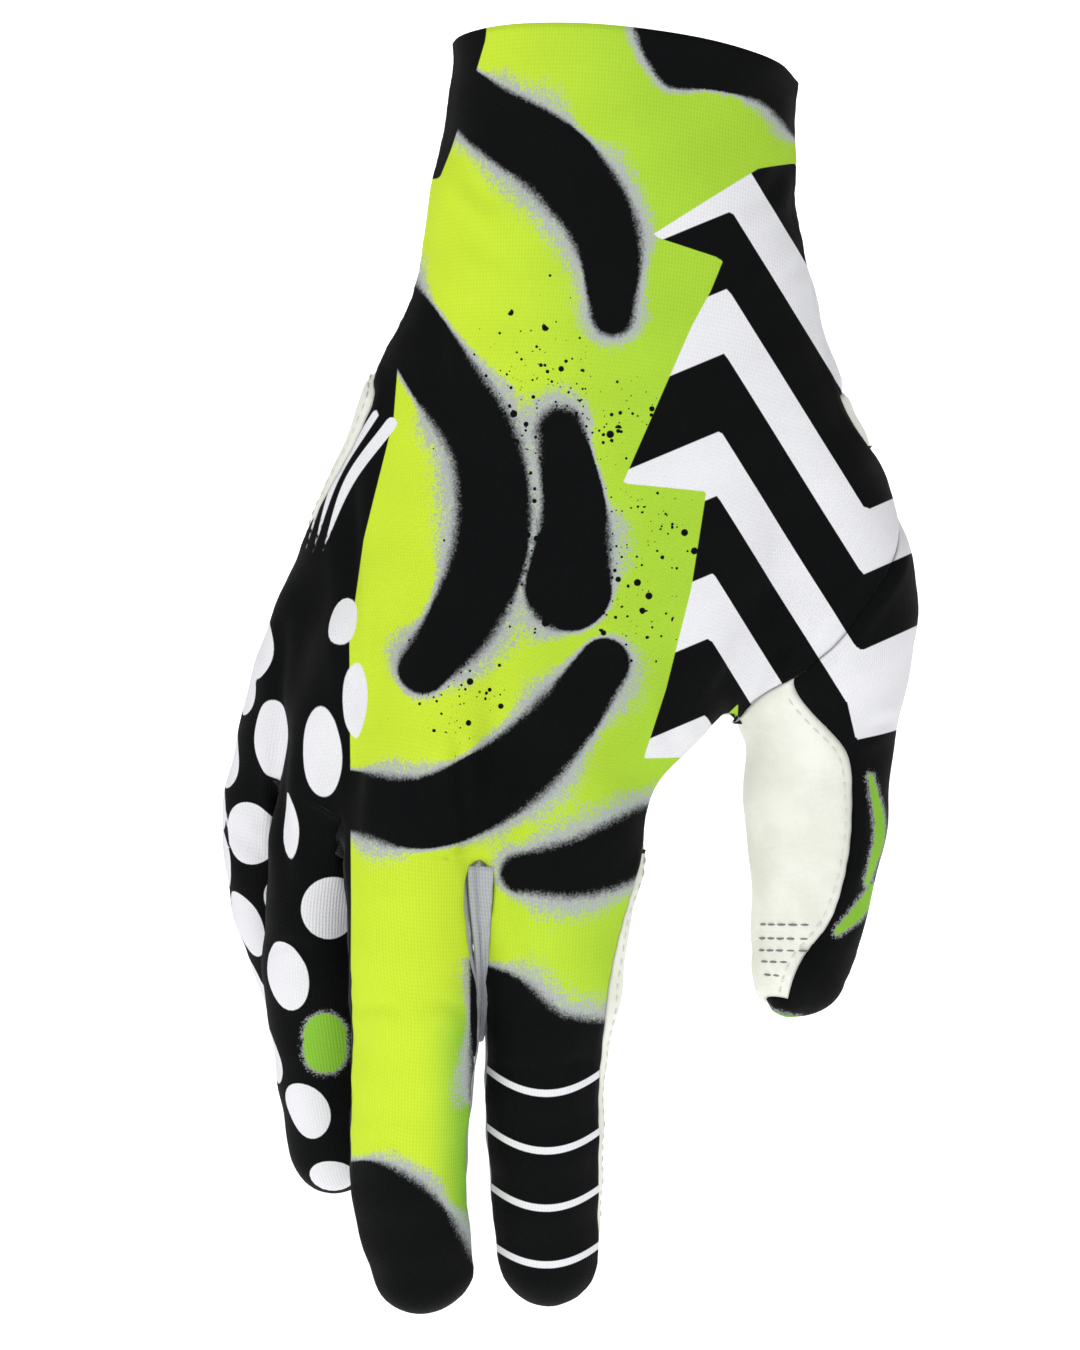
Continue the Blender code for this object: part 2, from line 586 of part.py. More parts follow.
def zone_rays(zone, k, share, q, side):
    """Rays of one zone of a finger's strip, with the roundness of its joins."""
    if zone == "hand":
        return (*hand_rays(k, share, q, side), np.full(share.shape, HAND_BLEND * FINGER_WIDTH))
    if zone == "knuckle":
        blend = FINGER_WIDTH * (HAND_BLEND + (CROTCH_BLEND - HAND_BLEND) * share)
        return (*knuckle_rays(k, share, q, side), blend)
    if zone == "finger":
        return (*finger_rays(k, share, q, side), crotch_blend(share))
    return (*tip_rays(k, share, q, side), np.full(share.shape, TIP_BLEND * FINGER_WIDTH))


def strip_grid(k, side, zones, wall):
    """Outer and inner points of one finger's strip. Each zone is a name with its shares."""
    outer, inner = [], []
    across = np.linspace(-1, 1, FINGER_COLUMNS + 1)
    if k == len(FINGERS) - 1:
        across = np.concatenate([across[across < 0], np.linspace(0, 1, THUMB_SIDE_COLUMNS + 1)])
    for zone, shares in zones:
        share, q = np.meshgrid(shares, across, indexing="ij")
        base, target, blend = zone_rays(zone, k, share, q, side)
        outer.append(on_surface(base, target, blend, 0))
        inner.append(on_surface(base, target, blend, -wall))
    return np.concatenate(outer), np.concatenate(inner)


def finger_shares():
    """A finger's rows, closer together at the crotch."""
    return np.linspace(0, 1, FINGER_ROWS + 1) ** 1.5


def fourchette_grid(k, wall):
    """The strip down one finger's side, round the crotch and down the next finger's side."""
    share = finger_shares()
    x = np.linspace(0, 1, FOURCHETTE_COLUMNS + 1)[None, :, None]
    weights = (1 - x) * (1 - 2 * x), 4 * x * (1 - x), x * (2 * x - 1)
    w = smooth(share / CROTCH_RANGE)
    crotch, _, along, _ = between(k, k + 1, finger_past_knuckle, np.ones_like(share))
    outer, inner = [], []
    for finger, sign in ((k, 1), (k + 1, -1)):
        q = np.full(share.shape, float(sign))
        section = FINGERS[finger].at(finger_past_crotch(FINGERS[finger], share))
        side_base = mix(crotch - along * WEB_BASE_BACK * FINGER_WIDTH, section[0], w)
        side_target = mix(crotch + along * WEB_REACH * FINGER_WIDTH, oval(section, q * np.pi / 2, 1), w)
        back_base, back_target = finger_rays(finger, share, q, 1)
        front_base, front_target = finger_rays(finger, share, q, -1)
        base = sum(u * v[:, None] for u, v in zip(weights, (back_base, side_base, front_base)))
        target = sum(u * v[:, None] for u, v in zip(weights, (back_target, side_target, front_target)))
        blend = np.broadcast_to(crotch_blend(share)[:, None], base.shape[:2])
        rows = slice(None, None, -1) if sign > 0 else slice(1, None)
        outer.append(on_surface(base, target, blend, 0)[rows])
        inner.append(on_surface(base, target, blend, -wall)[rows])
    return np.concatenate(outer), np.concatenate(inner)


def thumb_grid(wall):
    """Rows down the thumb from its seam to its tip, with columns around it."""
    share, turn = np.meshgrid(np.linspace(0, 1, THUMB_ROWS + 1), np.linspace(0, 1, THUMB_COLUMNS + 1), indexing="ij")
    ring_base, ring_target, ring_s, ring_angle = thumb_ring(turn)
    seams = np.array(PATCH_SEAMS, float)
    front = np.radians(np.interp(share, seams[:, 0], seams[:, 1]))
    rear = np.radians(np.interp(share, seams[:, 0], seams[:, 2]))
    front_turn, rear_turn = PATCH_FRONT_COLUMN / THUMB_COLUMNS, PATCH_BACK_COLUMN / THUMB_COLUMNS
    first, last = np.radians(THUMB_SEAM_RING[0][1]), np.radians(THUMB_SEAM_RING[-1][1])
    spread = np.where(
        turn <= front_turn,
        first + (front - first) * turn / front_turn,
        np.where(
            turn <= rear_turn,
            front + (rear - front) * (turn - front_turn) / (rear_turn - front_turn),
            rear + (last - rear) * (turn - rear_turn) / (1 - rear_turn),
        ),
    )
    w = smooth(share / 0.25)
    angle = ring_angle + (spread - ring_angle) * w
    section = THUMB.at(ring_s + (THUMB.length - ring_s) * share)
    base = mix(ring_base, section[0], w)
    target = mix(ring_target, oval(section, angle, 1), smooth(share / 0.12))
    end = THUMB.at(np.full(turn[0].shape, THUMB.length))
    rise = np.radians(np.linspace(0, 90, TIP_ROWS + 1))[1:, None, None]
    rim = oval(end, angle[-1], 1) - end[0]
    tip = end[3] * ((end[4] + end[5]) / 2)[:, None]
    tip_target = end[0] + rim[None] * np.cos(rise) + tip[None] * np.sin(rise)
    base = np.concatenate([base, np.broadcast_to(end[0], tip_target.shape)])
    target = np.concatenate([target, tip_target])
    blend = np.full(base.shape[:2], THUMB_ROOT_BLEND * FINGER_WIDTH)
    return on_surface(base, target, blend, 0), on_surface(base, target, blend, -wall)


class Panel:
    """Quads gathered from grids, welded, drawn in along their edges and closed into a wall."""

    WELD = 1e-6

    def __init__(self):
        self.outer, self.inner, self.faces, self.count = [], [], [], 0

    def add(self, outer, inner, flip=False):
        rows, columns = outer.shape[:2]
        index = self.count + np.arange(rows * columns).reshape(rows, columns)
        corners = (index[:-1, :-1], index[1:, :-1], index[1:, 1:], index[:-1, 1:])
        quads = np.stack(corners, -1).reshape(-1, 4)
        self.faces.append(quads[:, ::-1] if flip else quads)
        self.outer.append(outer.reshape(-1, 3))
        self.inner.append(inner.reshape(-1, 3))
        self.count += rows * columns

    def welded(self):
        outer, inner = np.concatenate(self.outer), np.concatenate(self.inner)
        _, first, index = np.unique(
            np.round(outer / self.WELD).astype(np.int64), axis=0, return_index=True, return_inverse=True
        )
        faces = [list(dict.fromkeys(face)) for face in index.reshape(-1)[np.concatenate(self.faces)].tolist()]
        return outer[first], inner[first], [face for face in faces if len(face) > 2]

    def build(self, name, material):
        outer, inner, faces = self.welded()
        edges = {(a, b) for face in faces for a, b in zip(face, face[1:] + face[:1])}
        rim = [(a, b) for a, b in edges if (b, a) not in edges]
        self.draw_in(outer, inner, faces, rim)
        n = len(outer)
        closed = faces + [[n + i for i in reversed(face)] for face in faces]
        closed += [[b, a, n + a, n + b] for a, b in rim]
        mesh = bpy.data.meshes.new(name)
        mesh.from_pydata(np.concatenate([outer, inner]).tolist(), [], closed)
        mesh.validate()
        mesh.shade_smooth()
        mesh.set_sharp_from_angle(angle=np.radians(50))
        mesh.materials.append(material)
        obj = bpy.data.objects.new(name, mesh)
        return obj

    @staticmethod
    def draw_in(outer, inner, faces, rim):
        """Moves each edge point half the seam's gap into the panel, square to the edge and to the wall."""
        pull = np.zeros_like(outer)
        on_rim = {i for edge in rim for i in edge}
        for face in faces:
            middle = outer[face].mean(0)
            for i in on_rim.intersection(face):
                pull[i] += middle - outer[i]
        run = np.zeros_like(outer)
        for a, b in rim:
            run[a] += outer[b] - outer[a]
            run[b] += outer[b] - outer[a]
        at = sorted(on_rim)
        through = unit(outer[at] - inner[at])
        run = unit(run[at])
        step = pull[at]
        for axis in (through, unit(run - (run * through).sum(-1, keepdims=True) * through)):
            step = step - (step * axis).sum(-1, keepdims=True) * axis
        step = unit(step) * SEAM_GAP / 2
        outer[at] += step
        inner[at] += step


def material(name, colour, roughness):
    made = bpy.data.materials.new(name)
    made.use_nodes = True
    made.diffuse_color = (*colour, 1)
    shader = made.node_tree.nodes["Principled BSDF"]
    shader.inputs["Base Color"].default_value = (*colour, 1)
    shader.inputs["Roughness"].default_value = roughness
    shader.inputs["Metallic"].default_value = 0
    return made


def hand_shares(first, last):
    """The hand's rows, with the top of the thumb's seam on one of them and a ring point on each one after it."""
    on_ring = THUMB_COLUMNS // 2
    above = np.linspace(0, THUMB_BLEND[1], HAND_ROWS - on_ring + 1)
    beside = np.linspace(THUMB_BLEND[1], 1, on_ring + 1)[1:]
    return np.concatenate([above, beside])[first:last + 1]


def add_strips(panel, side, first_row, last_row, wall, fingers):
    """The four fingers' strips of the hand's back or palm, with the fingers' own where asked for."""
    hand = ("hand", hand_shares(first_row, last_row))
    knuckle = ("knuckle", np.linspace(0, 1, KNUCKLE_ROWS + 1)[1:])
    finger = ("finger", finger_shares()[1:])
    tip = ("tip", np.linspace(0, 1, TIP_ROWS + 1)[1:])
    zones = [hand, knuckle, finger, tip] if fingers else [hand]
    for k in range(len(FINGERS)):
        panel.add(*strip_grid(k, side, zones, wall), flip=side < 0)


def back_panel(print_fabric):
    """Printed fabric from the cuff's mouth over the back of the hand and down the backs of the four fingers."""
    panel = Panel()
    add_strips(panel, 1, 0, HAND_ROWS, FABRIC_WALL, fingers=True)
    return panel.build("back_panel", print_fabric)


def cuff_underside(print_fabric):
    """Printed fabric under the wrist, from the mouth to the leather palm."""
    panel = Panel()
    add_strips(panel, -1, 0, PALM_TOP_ROW, FABRIC_WALL, fingers=False)
    return panel.build("cuff_underside", print_fabric)


def palm_panel(leather):
    """Synthetic leather over the palm and down the fronts of the four fingers."""
    panel = Panel()
    add_strips(panel, -1, PALM_TOP_ROW, HAND_ROWS, LEATHER_WALL, fingers=True)
    return panel.build("palm_panel", leather)


def fourchette(k, name, knit):
    panel = Panel()
    panel.add(*fourchette_grid(k, FABRIC_WALL), flip=True)
    return panel.build(name, knit)


def thumb_back(print_fabric):
    """Printed fabric over the thumb's outer side and its tip."""
    outer, inner = thumb_grid(FABRIC_WALL)
    panel = Panel()
    front = slice(0, PATCH_FRONT_COLUMN + 1)
    rear = slice(PATCH_BACK_COLUMN, THUMB_COLUMNS + 1)
    panel.add(outer[:, front], inner[:, front], flip=True)
    panel.add(outer[:, rear], inner[:, rear], flip=True)
    under = slice(PATCH_FRONT_COLUMN, PATCH_BACK_COLUMN + 1)
    panel.add(outer[THUMB_ROWS:, under], inner[THUMB_ROWS:, under], flip=True)
    return panel.build("thumb_back", print_fabric)


def thumb_patch(leather):
    """Synthetic leather along the thumb's inner side."""
    outer, inner = thumb_grid(LEATHER_WALL)
    panel = Panel()
    under = slice(PATCH_FRONT_COLUMN, PATCH_BACK_COLUMN + 1)
    panel.add(outer[:THUMB_ROWS + 1, under], inner[:THUMB_ROWS + 1, under], flip=True)
    return panel.build("thumb_patch", leather)


def main():
    for old in list(bpy.data.objects):
        bpy.data.objects.remove(old, do_unlink=True)
    print_fabric = material("printed stretch fabric", (0.46, 0.70, 0.02), 0.62)
    leather = material("off-white synthetic leather", (0.74, 0.75, 0.70), 0.55)
    knit = material("light grey stretch knit", (0.62, 0.63, 0.67), 0.70)
    pieces = [
        back_panel(print_fabric),
        cuff_underside(print_fabric),
        palm_panel(leather),
        fourchette(0, "fourchette_ring_little", knit),
        fourchette(1, "fourchette_middle_ring", knit),
        fourchette(2, "fourchette_index_middle", knit),
        thumb_back(print_fabric),
        thumb_patch(leather),
    ]
    glove = bpy.data.collections.new("motocross_glove")
    bpy.context.scene.collection.children.link(glove)
    for piece in pieces:
        glove.objects.link(piece)


main()
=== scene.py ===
"""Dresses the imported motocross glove: printed stretch fabric, pale leather, knit side walls and their stitching.

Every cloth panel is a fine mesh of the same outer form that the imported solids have. Points are found along rays
from inside the hand to the surface of a smooth union of tubes, so neighbouring panels share their seam lines.
Folds, creases and the dip along each seam are small changes of that surface's level. The print is a set of
signed distances kept on the mesh, which the materials turn into crisp or misted edges.
"""

from __future__ import annotations

import logging
import math
from dataclasses import dataclass
from enum import Enum
from functools import cached_property
from typing import Callable, Sequence

import bpy
import numpy as np
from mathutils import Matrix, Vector


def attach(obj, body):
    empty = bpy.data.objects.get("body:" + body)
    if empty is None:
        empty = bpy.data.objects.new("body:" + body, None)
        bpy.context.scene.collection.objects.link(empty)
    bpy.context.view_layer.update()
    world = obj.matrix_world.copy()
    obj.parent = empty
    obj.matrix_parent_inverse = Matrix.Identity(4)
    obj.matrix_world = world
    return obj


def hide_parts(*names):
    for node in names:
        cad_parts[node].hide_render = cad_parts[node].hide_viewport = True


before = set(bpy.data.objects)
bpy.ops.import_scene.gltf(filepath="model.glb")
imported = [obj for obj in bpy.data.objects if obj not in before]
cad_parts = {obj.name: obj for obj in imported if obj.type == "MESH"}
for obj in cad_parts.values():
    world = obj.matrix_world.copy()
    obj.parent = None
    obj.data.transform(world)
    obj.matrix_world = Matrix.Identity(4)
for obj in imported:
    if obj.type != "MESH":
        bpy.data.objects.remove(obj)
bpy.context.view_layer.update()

log = logging.getLogger("glove")
Array = np.ndarray
Colour = tuple[float, float, float]


class Side(Enum):
    """Which face of the hand a panel covers."""

    BACK = 1
    PALM = -1


class Zone(Enum):
    """The stretches of a finger's strip, from the cuff to the fingertip."""

    HAND = "hand"
    KNUCKLE = "knuckle"
    FINGER = "finger"
    TIP = "tip"


@dataclass(frozen=True)
class GloveSizes:
    """The glove's driving sizes in metres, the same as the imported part's."""

    length: float = 0.239
    breadth: float = 0.090
    cuff_width: float = 0.0646
    cuff_depth: float = 0.050
    finger: float = 0.0226
    thumb: float = 0.0285
    fabric: float = 0.0012
    leather: float = 0.0015
    finger_gap: float = 0.0008
    crotch_gap: float = 0.0032
    rim_rise: float = 0.012
    rim_drop: float = 0.0067
    knuckle_down: float = 0.521


SIZES = GloveSizes()

# Sections of the tubes. Columns: across as a share of the breadth, down of the length, behind of the cuff's
# depth, half width and half depth of the sizes named with each table, and the roll in degrees.
BODY_SECTIONS = [
    (-0.022, 0.107, -0.010, 0.386, 0.460, 0),
    (-0.027, 0.183, -0.020, 0.418, 0.420, 2),
    (-0.053, 0.258, -0.020, 0.450, 0.390, 5),
    (-0.112, 0.322, 0.000, 0.467, 0.370, 8),
    (-0.169, 0.386, 0.020, 0.467, 0.340, 11),
    (-0.232, 0.449, 0.060, 0.444, 0.290, 14),
    (-0.296, 0.505, 0.100, 0.400, 0.240, 17),
    (-0.338, 0.541, 0.120, 0.356, 0.180, 18),
]
CUFF_OVERRUN = 0.048
# Fingers: half sizes in shares of the finger's width. Third row the knuckle, fourth the crotch, last the tip.
LITTLE_SECTIONS = [
    (-0.412, 0.290, 0.080, 0.398, 0.398, 0),
    (-0.566, 0.394, 0.280, 0.465, 0.509, 30),
    (-0.671, 0.497, 0.420, 0.496, 0.509, 45),
    (-0.728, 0.560, 0.520, 0.451, 0.451, 48),
    (-0.749, 0.624, 0.590, 0.434, 0.425, 50),
    (-0.737, 0.668, 0.640, 0.425, 0.412, 50),
    (-0.703, 0.712, 0.720, 0.398, 0.394, 50),
    (-0.669, 0.753, 0.820, 0.363, 0.363, 50),
]
RING_SECTIONS = [
    (-0.264, 0.290, -0.020, 0.398, 0.398, 0),
    (-0.458, 0.417, 0.040, 0.487, 0.531, 15),
    (-0.555, 0.497, 0.100, 0.509, 0.553, 22),
    (-0.612, 0.584, 0.180, 0.478, 0.487, 25),
    (-0.644, 0.664, 0.260, 0.469, 0.478, 25),
    (-0.646, 0.727, 0.340, 0.469, 0.465, 25),
    (-0.633, 0.799, 0.440, 0.438, 0.434, 22),
    (-0.616, 0.864, 0.560, 0.389, 0.389, 20),
]
MIDDLE_SECTIONS = [
    (-0.116, 0.290, -0.060, 0.398, 0.398, 0),
    (-0.285, 0.425, -0.100, 0.487, 0.531, 6),
    (-0.391, 0.521, -0.120, 0.553, 0.575, 8),
    (-0.450, 0.624, -0.100, 0.560, 0.540, 6),
    (-0.450, 0.704, -0.060, 0.527, 0.522, 4),
    (-0.441, 0.759, 0.000, 0.544, 0.513, 2),
    (-0.452, 0.815, 0.080, 0.504, 0.496, 0),
    (-0.456, 0.894, 0.220, 0.491, 0.469, 0),
    (-0.433, 0.956, 0.360, 0.434, 0.425, 0),
]
INDEX_SECTIONS = [
    (0.032, 0.290, -0.040, 0.398, 0.398, 0),
    (-0.027, 0.425, -0.060, 0.487, 0.531, 0),
    (-0.099, 0.537, -0.080, 0.575, 0.575, 0),
    (-0.142, 0.634, -0.040, 0.700, 0.560, 0),
    (-0.152, 0.712, 0.040, 0.611, 0.531, 0),
    (-0.167, 0.791, 0.160, 0.513, 0.500, 0),
    (-0.169, 0.863, 0.280, 0.482, 0.469, 0),
    (-0.167, 0.918, 0.390, 0.456, 0.442, 0),
    (-0.160, 0.952, 0.460, 0.416, 0.407, 0),
]
KNUCKLE_SECTION = 2
CROTCH_SECTION = 3
# Thumb and ball of the thumb: half sizes in shares of the thumb's width
THUMB_SECTIONS = [
    (0.296, 0.211, 0.080, 0.281, 0.421, 0),
    (0.369, 0.290, 0.100, 0.386, 0.491, 0),
    (0.439, 0.370, 0.160, 0.456, 0.526, 0),
    (0.460, 0.433, 0.200, 0.505, 0.526, 0),
    (0.426, 0.497, 0.240, 0.519, 0.509, 0),
    (0.412, 0.553, 0.260, 0.495, 0.474, 0),
    (0.407, 0.600, 0.260, 0.477, 0.456, 0),
    (0.395, 0.656, 0.260, 0.414, 0.421, 0),
    (0.380, 0.704, 0.240, 0.351, 0.368, 0),
    (0.369, 0.719, 0.220, 0.316, 0.323, 0),
]
THUMB_BALL_SECTIONS = [
    (0.060, 0.240, 0.100, 0.500, 0.400, 0),
    (0.200, 0.320, 0.140, 0.550, 0.450, 0),
    (0.300, 0.400, 0.180, 0.550, 0.470, 0),
    (0.360, 0.455, 0.200, 0.500, 0.450, 0),
]
# Web between the index finger and the thumb: half sizes in shares of the finger's width
WEB_SECTIONS = [
    (-0.137, 0.505, -0.080, 0.575, 0.487, 0),
    (0.032, 0.497, -0.020, 0.553, 0.420, 0),
    (0.158, 0.471, 0.060, 0.509, 0.376, 0),
    (0.264, 0.457, 0.120, 0.553, 0.398, 0),
    (0.433, 0.425, 0.200, 0.531, 0.442, 0),
]
# Seam around the thumb's root: how far down, as a share of the length, and the angle around, 0 facing -Y
THUMB_SEAM_RING = [
    (0.362, 100), (0.394, 52), (0.425, 15), (0.461, -6), (0.486, -24), (0.502, -58), (0.511, -90),
    (0.514, -118), (0.503, -148), (0.477, -175), (0.441, -200), (0.401, -228), (0.362, -260),
]
WEB_INSIDE = (0.289, 0.469, 0.160)
WEB_EDGE = (0.232, 0.517, 0.080)
# Seam from the web to the index finger: share of the way, then across, down and behind of base and of seam
WEB_SEAM = [
    (0.00, 0.289, 0.469, 0.160, 0.232, 0.517, 0.080),
    (0.25, 0.190, 0.473, 0.080, 0.184, 0.518, 0.040),
    (0.50, 0.084, 0.497, 0.020, 0.141, 0.541, 0.020),
    (0.75, -0.032, 0.553, -0.060, 0.091, 0.571, -0.020),
    (1.00, -0.135, 0.624, -0.040, 0.053, 0.624, -0.060),
]
# Seams down a finger: share of the way, the back panel's angle from the finger's back, the palm's from its front
FOURCHETTE_SEAMS = [(0.0, 55, 50), (0.15, 70, 58), (0.3, 82, 62), (0.6, 86, 66), (1.0, 88.3, 88.3)]
INDEX_SIDE_SEAM = [(0.0, 46, 134), (0.2, 50, 130), (0.45, 68, 112), (0.7, 76, 104), (1.0, 88.3, 91.7)]
LITTLE_SIDE_SEAM = [(0.0, 90, 90), (0.5, 90, 90), (1.0, 88.3, 91.7)]
# Seams of the thumb patch: share of the thumb, angle of the front seam, angle of the back seam
PATCH_SEAMS = [
    (0.0, -24, -200), (0.1, 12, -195), (0.25, 33, -185), (0.6, 39, -175), (0.75, 36, -165), (0.86, 27, -154),
    (0.94, 10, -142), (1.0, -10, -134),
]
PATCH_FRONT_TURN = 4 / 12
PATCH_BACK_TURN = 10 / 12
WRIST_INSET = 0.62                  # where rays to the wrist start, as a share of the way to its side
THUMB_INSET_EXTRA = 0.33            # added to that further down on the thumb's side, from one share to another
THUMB_INSET_RANGE = (0.2, 0.45)
THUMB_ROOT_TURN = 0.25              # share of the thumb over which its columns turn from the ring to the patch's seams
THUMB_ROOT_REACH = 0.12
BLEND_RANGE = 0.3
HEEL_WRAP = math.radians(22)
FINGER_ROOTS = 0.55
FINGERS_BLEND = (0.40, 0.95)
THUMB_BLEND = (0.36, 0.695)
HEEL_RANGE = (0.44, 0.52, 0.74, 0.90)
RIM_RANGE = 0.16
CROTCH_RANGE = 0.30
PALM_TOP = 0.695 * 8 / 12           # share of the way to the knuckles where the leather palm begins

HAND_BLEND = 0.40 * SIZES.finger
CROTCH_BLEND = 0.36 * SIZES.finger
TIP_BLEND = 0.045 * SIZES.finger
THUMB_ROOT_BLEND = 0.40 * SIZES.finger
WEB_BLEND = 0.35 * SIZES.finger
SLOT_BLEND = 0.066 * SIZES.finger
SLOT_START = 0.18 * SIZES.finger
SLOT_RUN = 0.8 * SIZES.finger
WEB_BASE_BACK = 0.22 * SIZES.finger
WEB_REACH = 0.44 * SIZES.finger


# ---- Numbers and curves ----


def smooth(x: Array) -> Array:
    """Runs from 0 to 1 with level ends: 3x squared less 2x cubed, held outside 0 to 1."""
    x = np.clip(x, 0, 1)
    return x * x * (3 - 2 * x)


def unit(v: Array) -> Array:
    """Vectors of length 1 along v."""
    return v / np.maximum(np.linalg.norm(v, axis=-1, keepdims=True), 1e-12)


def mix(a: Array, b: Array, w: Array) -> Array:
    """Points a where the weight is 0 and b where it is 1."""
    return a + (b - a) * np.asarray(w)[..., None]


def along_axis(d: Array, axis: Array) -> Array:
    """The part of each vector along its axis, as a number."""
    return (d * axis).sum(-1)


def smooth_min(a: Array, b: Array, radius: Array | float) -> Array:
    """The smaller of a and b, rounded off where they differ by less than the radius."""
    h = np.maximum(radius - np.abs(a - b), 0) / radius
    return np.minimum(a, b) - h * h * radius / 4


def place(across: Array | float, down: Array | float, behind: Array | float) -> Array:
    """The point at these shares of the glove's breadth, length and depth."""
    return np.stack(
        [
            np.asarray(across) * SIZES.breadth,
            np.asarray(behind) * SIZES.cuff_depth,
            -np.asarray(down) * SIZES.length,
        ],
        -1,
    )


def curve_through(knots: Array, values: Array, s: Array) -> Array:
    """A smooth curve through rows of values.

    Each stretch is a cubic that has at each knot the mean of its neighbours' slopes, weighed by distance.

    Args:
        knots: The rows' distances along the curve, rising.
        values: One row for each knot.
        s: Distances at which the curve is wanted.

    Returns:
        A row of values for each distance.
    """
    step = np.diff(knots)
    slope = np.diff(values, axis=0) / step[:, None]
    tangent = np.empty_like(values)
    tangent[1:-1] = (slope[:-1] * step[1:, None] + slope[1:] * step[:-1, None]) / (step[1:] + step[:-1])[:, None]
    tangent[0], tangent[-1] = slope[0], slope[-1]
    i = np.clip(np.searchsorted(knots, s, side="right") - 1, 0, len(step) - 1)
    h = step[i]
    t = ((s - knots[i]) / h)[..., None]
    h = h[..., None]
    start = (1 + 2 * t) * (1 - t) ** 2 * values[i] + t * (1 - t) ** 2 * h * tangent[i]
    return start + t * t * (3 - 2 * t) * values[i + 1] + t * t * (t - 1) * h * tangent[i + 1]


# ---- The hand's form ----


@dataclass
class Section:
    """Ovals across a tube: centres, the axes across, outward and along, and the half sizes."""

    centre: Array
    across: Array
    back: Array
    along: Array
    half_width: Array
    half_depth: Array

    def point(self, angle: Array, side: Side = Side.BACK) -> Array:
        """The point at this angle from the oval's back, or from its front on the palm's side."""
        return (
            self.centre
            + self.across * (self.half_width * np.sin(angle))[..., None]
            + side.value * self.back * (self.half_depth * np.cos(angle))[..., None]
        )


class Tube:
    """A tube of oval sections along a smooth curve, with a rounded end."""

    SAMPLES = 48
    TANGENT_STEP = 1e-4

    def __init__(self, sections: Sequence[tuple[float, ...]], width: float, depth: float) -> None:
        """Lays the sections along their centres.

        Args:
            sections: Rows of across, down, behind, half width, half depth and roll.
            width: The size that half widths are shares of.
            depth: The size that half depths are shares of.
        """
        rows = np.array(sections, float)
        centres = place(rows[:, 0], rows[:, 1], rows[:, 2])
        self.knots = np.concatenate([[0], np.cumsum(np.linalg.norm(np.diff(centres, axis=0), axis=1))])
        self.data = np.column_stack([centres, rows[:, 3] * width, rows[:, 4] * depth, np.radians(rows[:, 5])])
        self.length = self.knots[-1]
        self.s = np.linspace(0, self.length, self.SAMPLES)
        self.line = self.at(self.s)

    def at(self, s: Array) -> Section:
        """The sections at these distances along the tube."""
        s = np.clip(np.asarray(s, float), 0, self.length)
        row = curve_through(self.knots, self.data, s)
        ahead = curve_through(self.knots, self.data, np.clip(s + self.TANGENT_STEP, 0, self.length))
        behind = curve_through(self.knots, self.data, np.clip(s - self.TANGENT_STEP, 0, self.length))
        along = unit(ahead[..., :3] - behind[..., :3])
        roll = row[..., 5]
        back = np.stack([-np.sin(roll), -np.cos(roll), np.zeros_like(roll)], -1)
        back = unit(back - along_axis(back, along)[..., None] * along)
        return Section(row[..., :3], np.cross(back, along), back, along, row[..., 3], row[..., 4])

    def at_height(self, z: Array | float) -> Array:
        """Distance along the tube at this height."""
        return np.interp(-np.asarray(z), -self.line.centre[:, 2], self.s)

    def distance(self, p: Array) -> Array:
        """Distance from each point to the surface, measured on the line to the tube's centre, negative inside."""
        line = self.line
        parts = (line.centre, line.across, line.back, line.along, line.half_width, line.half_depth)
        nearest = np.argmin((line.centre ** 2).sum(1)[None] - 2 * p @ line.centre.T, axis=1)
        best: list[Array] = []
        best_gap = np.full(len(p), np.inf)
        for step in (0, -1):
            j = np.clip(nearest + step, 0, len(line.centre) - 2)
            span = line.centre[j + 1] - line.centre[j]
            h = np.clip(along_axis(p - line.centre[j], span) / (span ** 2).sum(1), 0, 1)
            found = [v[j] + (h[:, None] if v.ndim == 2 else h) * (v[j + 1] - v[j]) for v in parts]
            gap = ((p - found[0]) ** 2).sum(1)
            closer = gap < best_gap
            pairs = zip(found, best or found)
            best = [np.where(closer[:, None] if v.ndim == 2 else closer, v, w) for v, w in pairs]
            best_gap = np.minimum(gap, best_gap)
        middle, across, back, along, half_width, half_depth = best
        d = p - middle
        x, y, z = (along_axis(d, axis) for axis in (across, back, along))
        end = (half_width + half_depth) / 2
        share = np.sqrt((x / half_width) ** 2 + (y / half_depth) ** 2 + (z / end) ** 2) + 1e-9
        return (np.sqrt(x * x + y * y + z * z) + 1e-9 * end) * (1 - 1 / share)


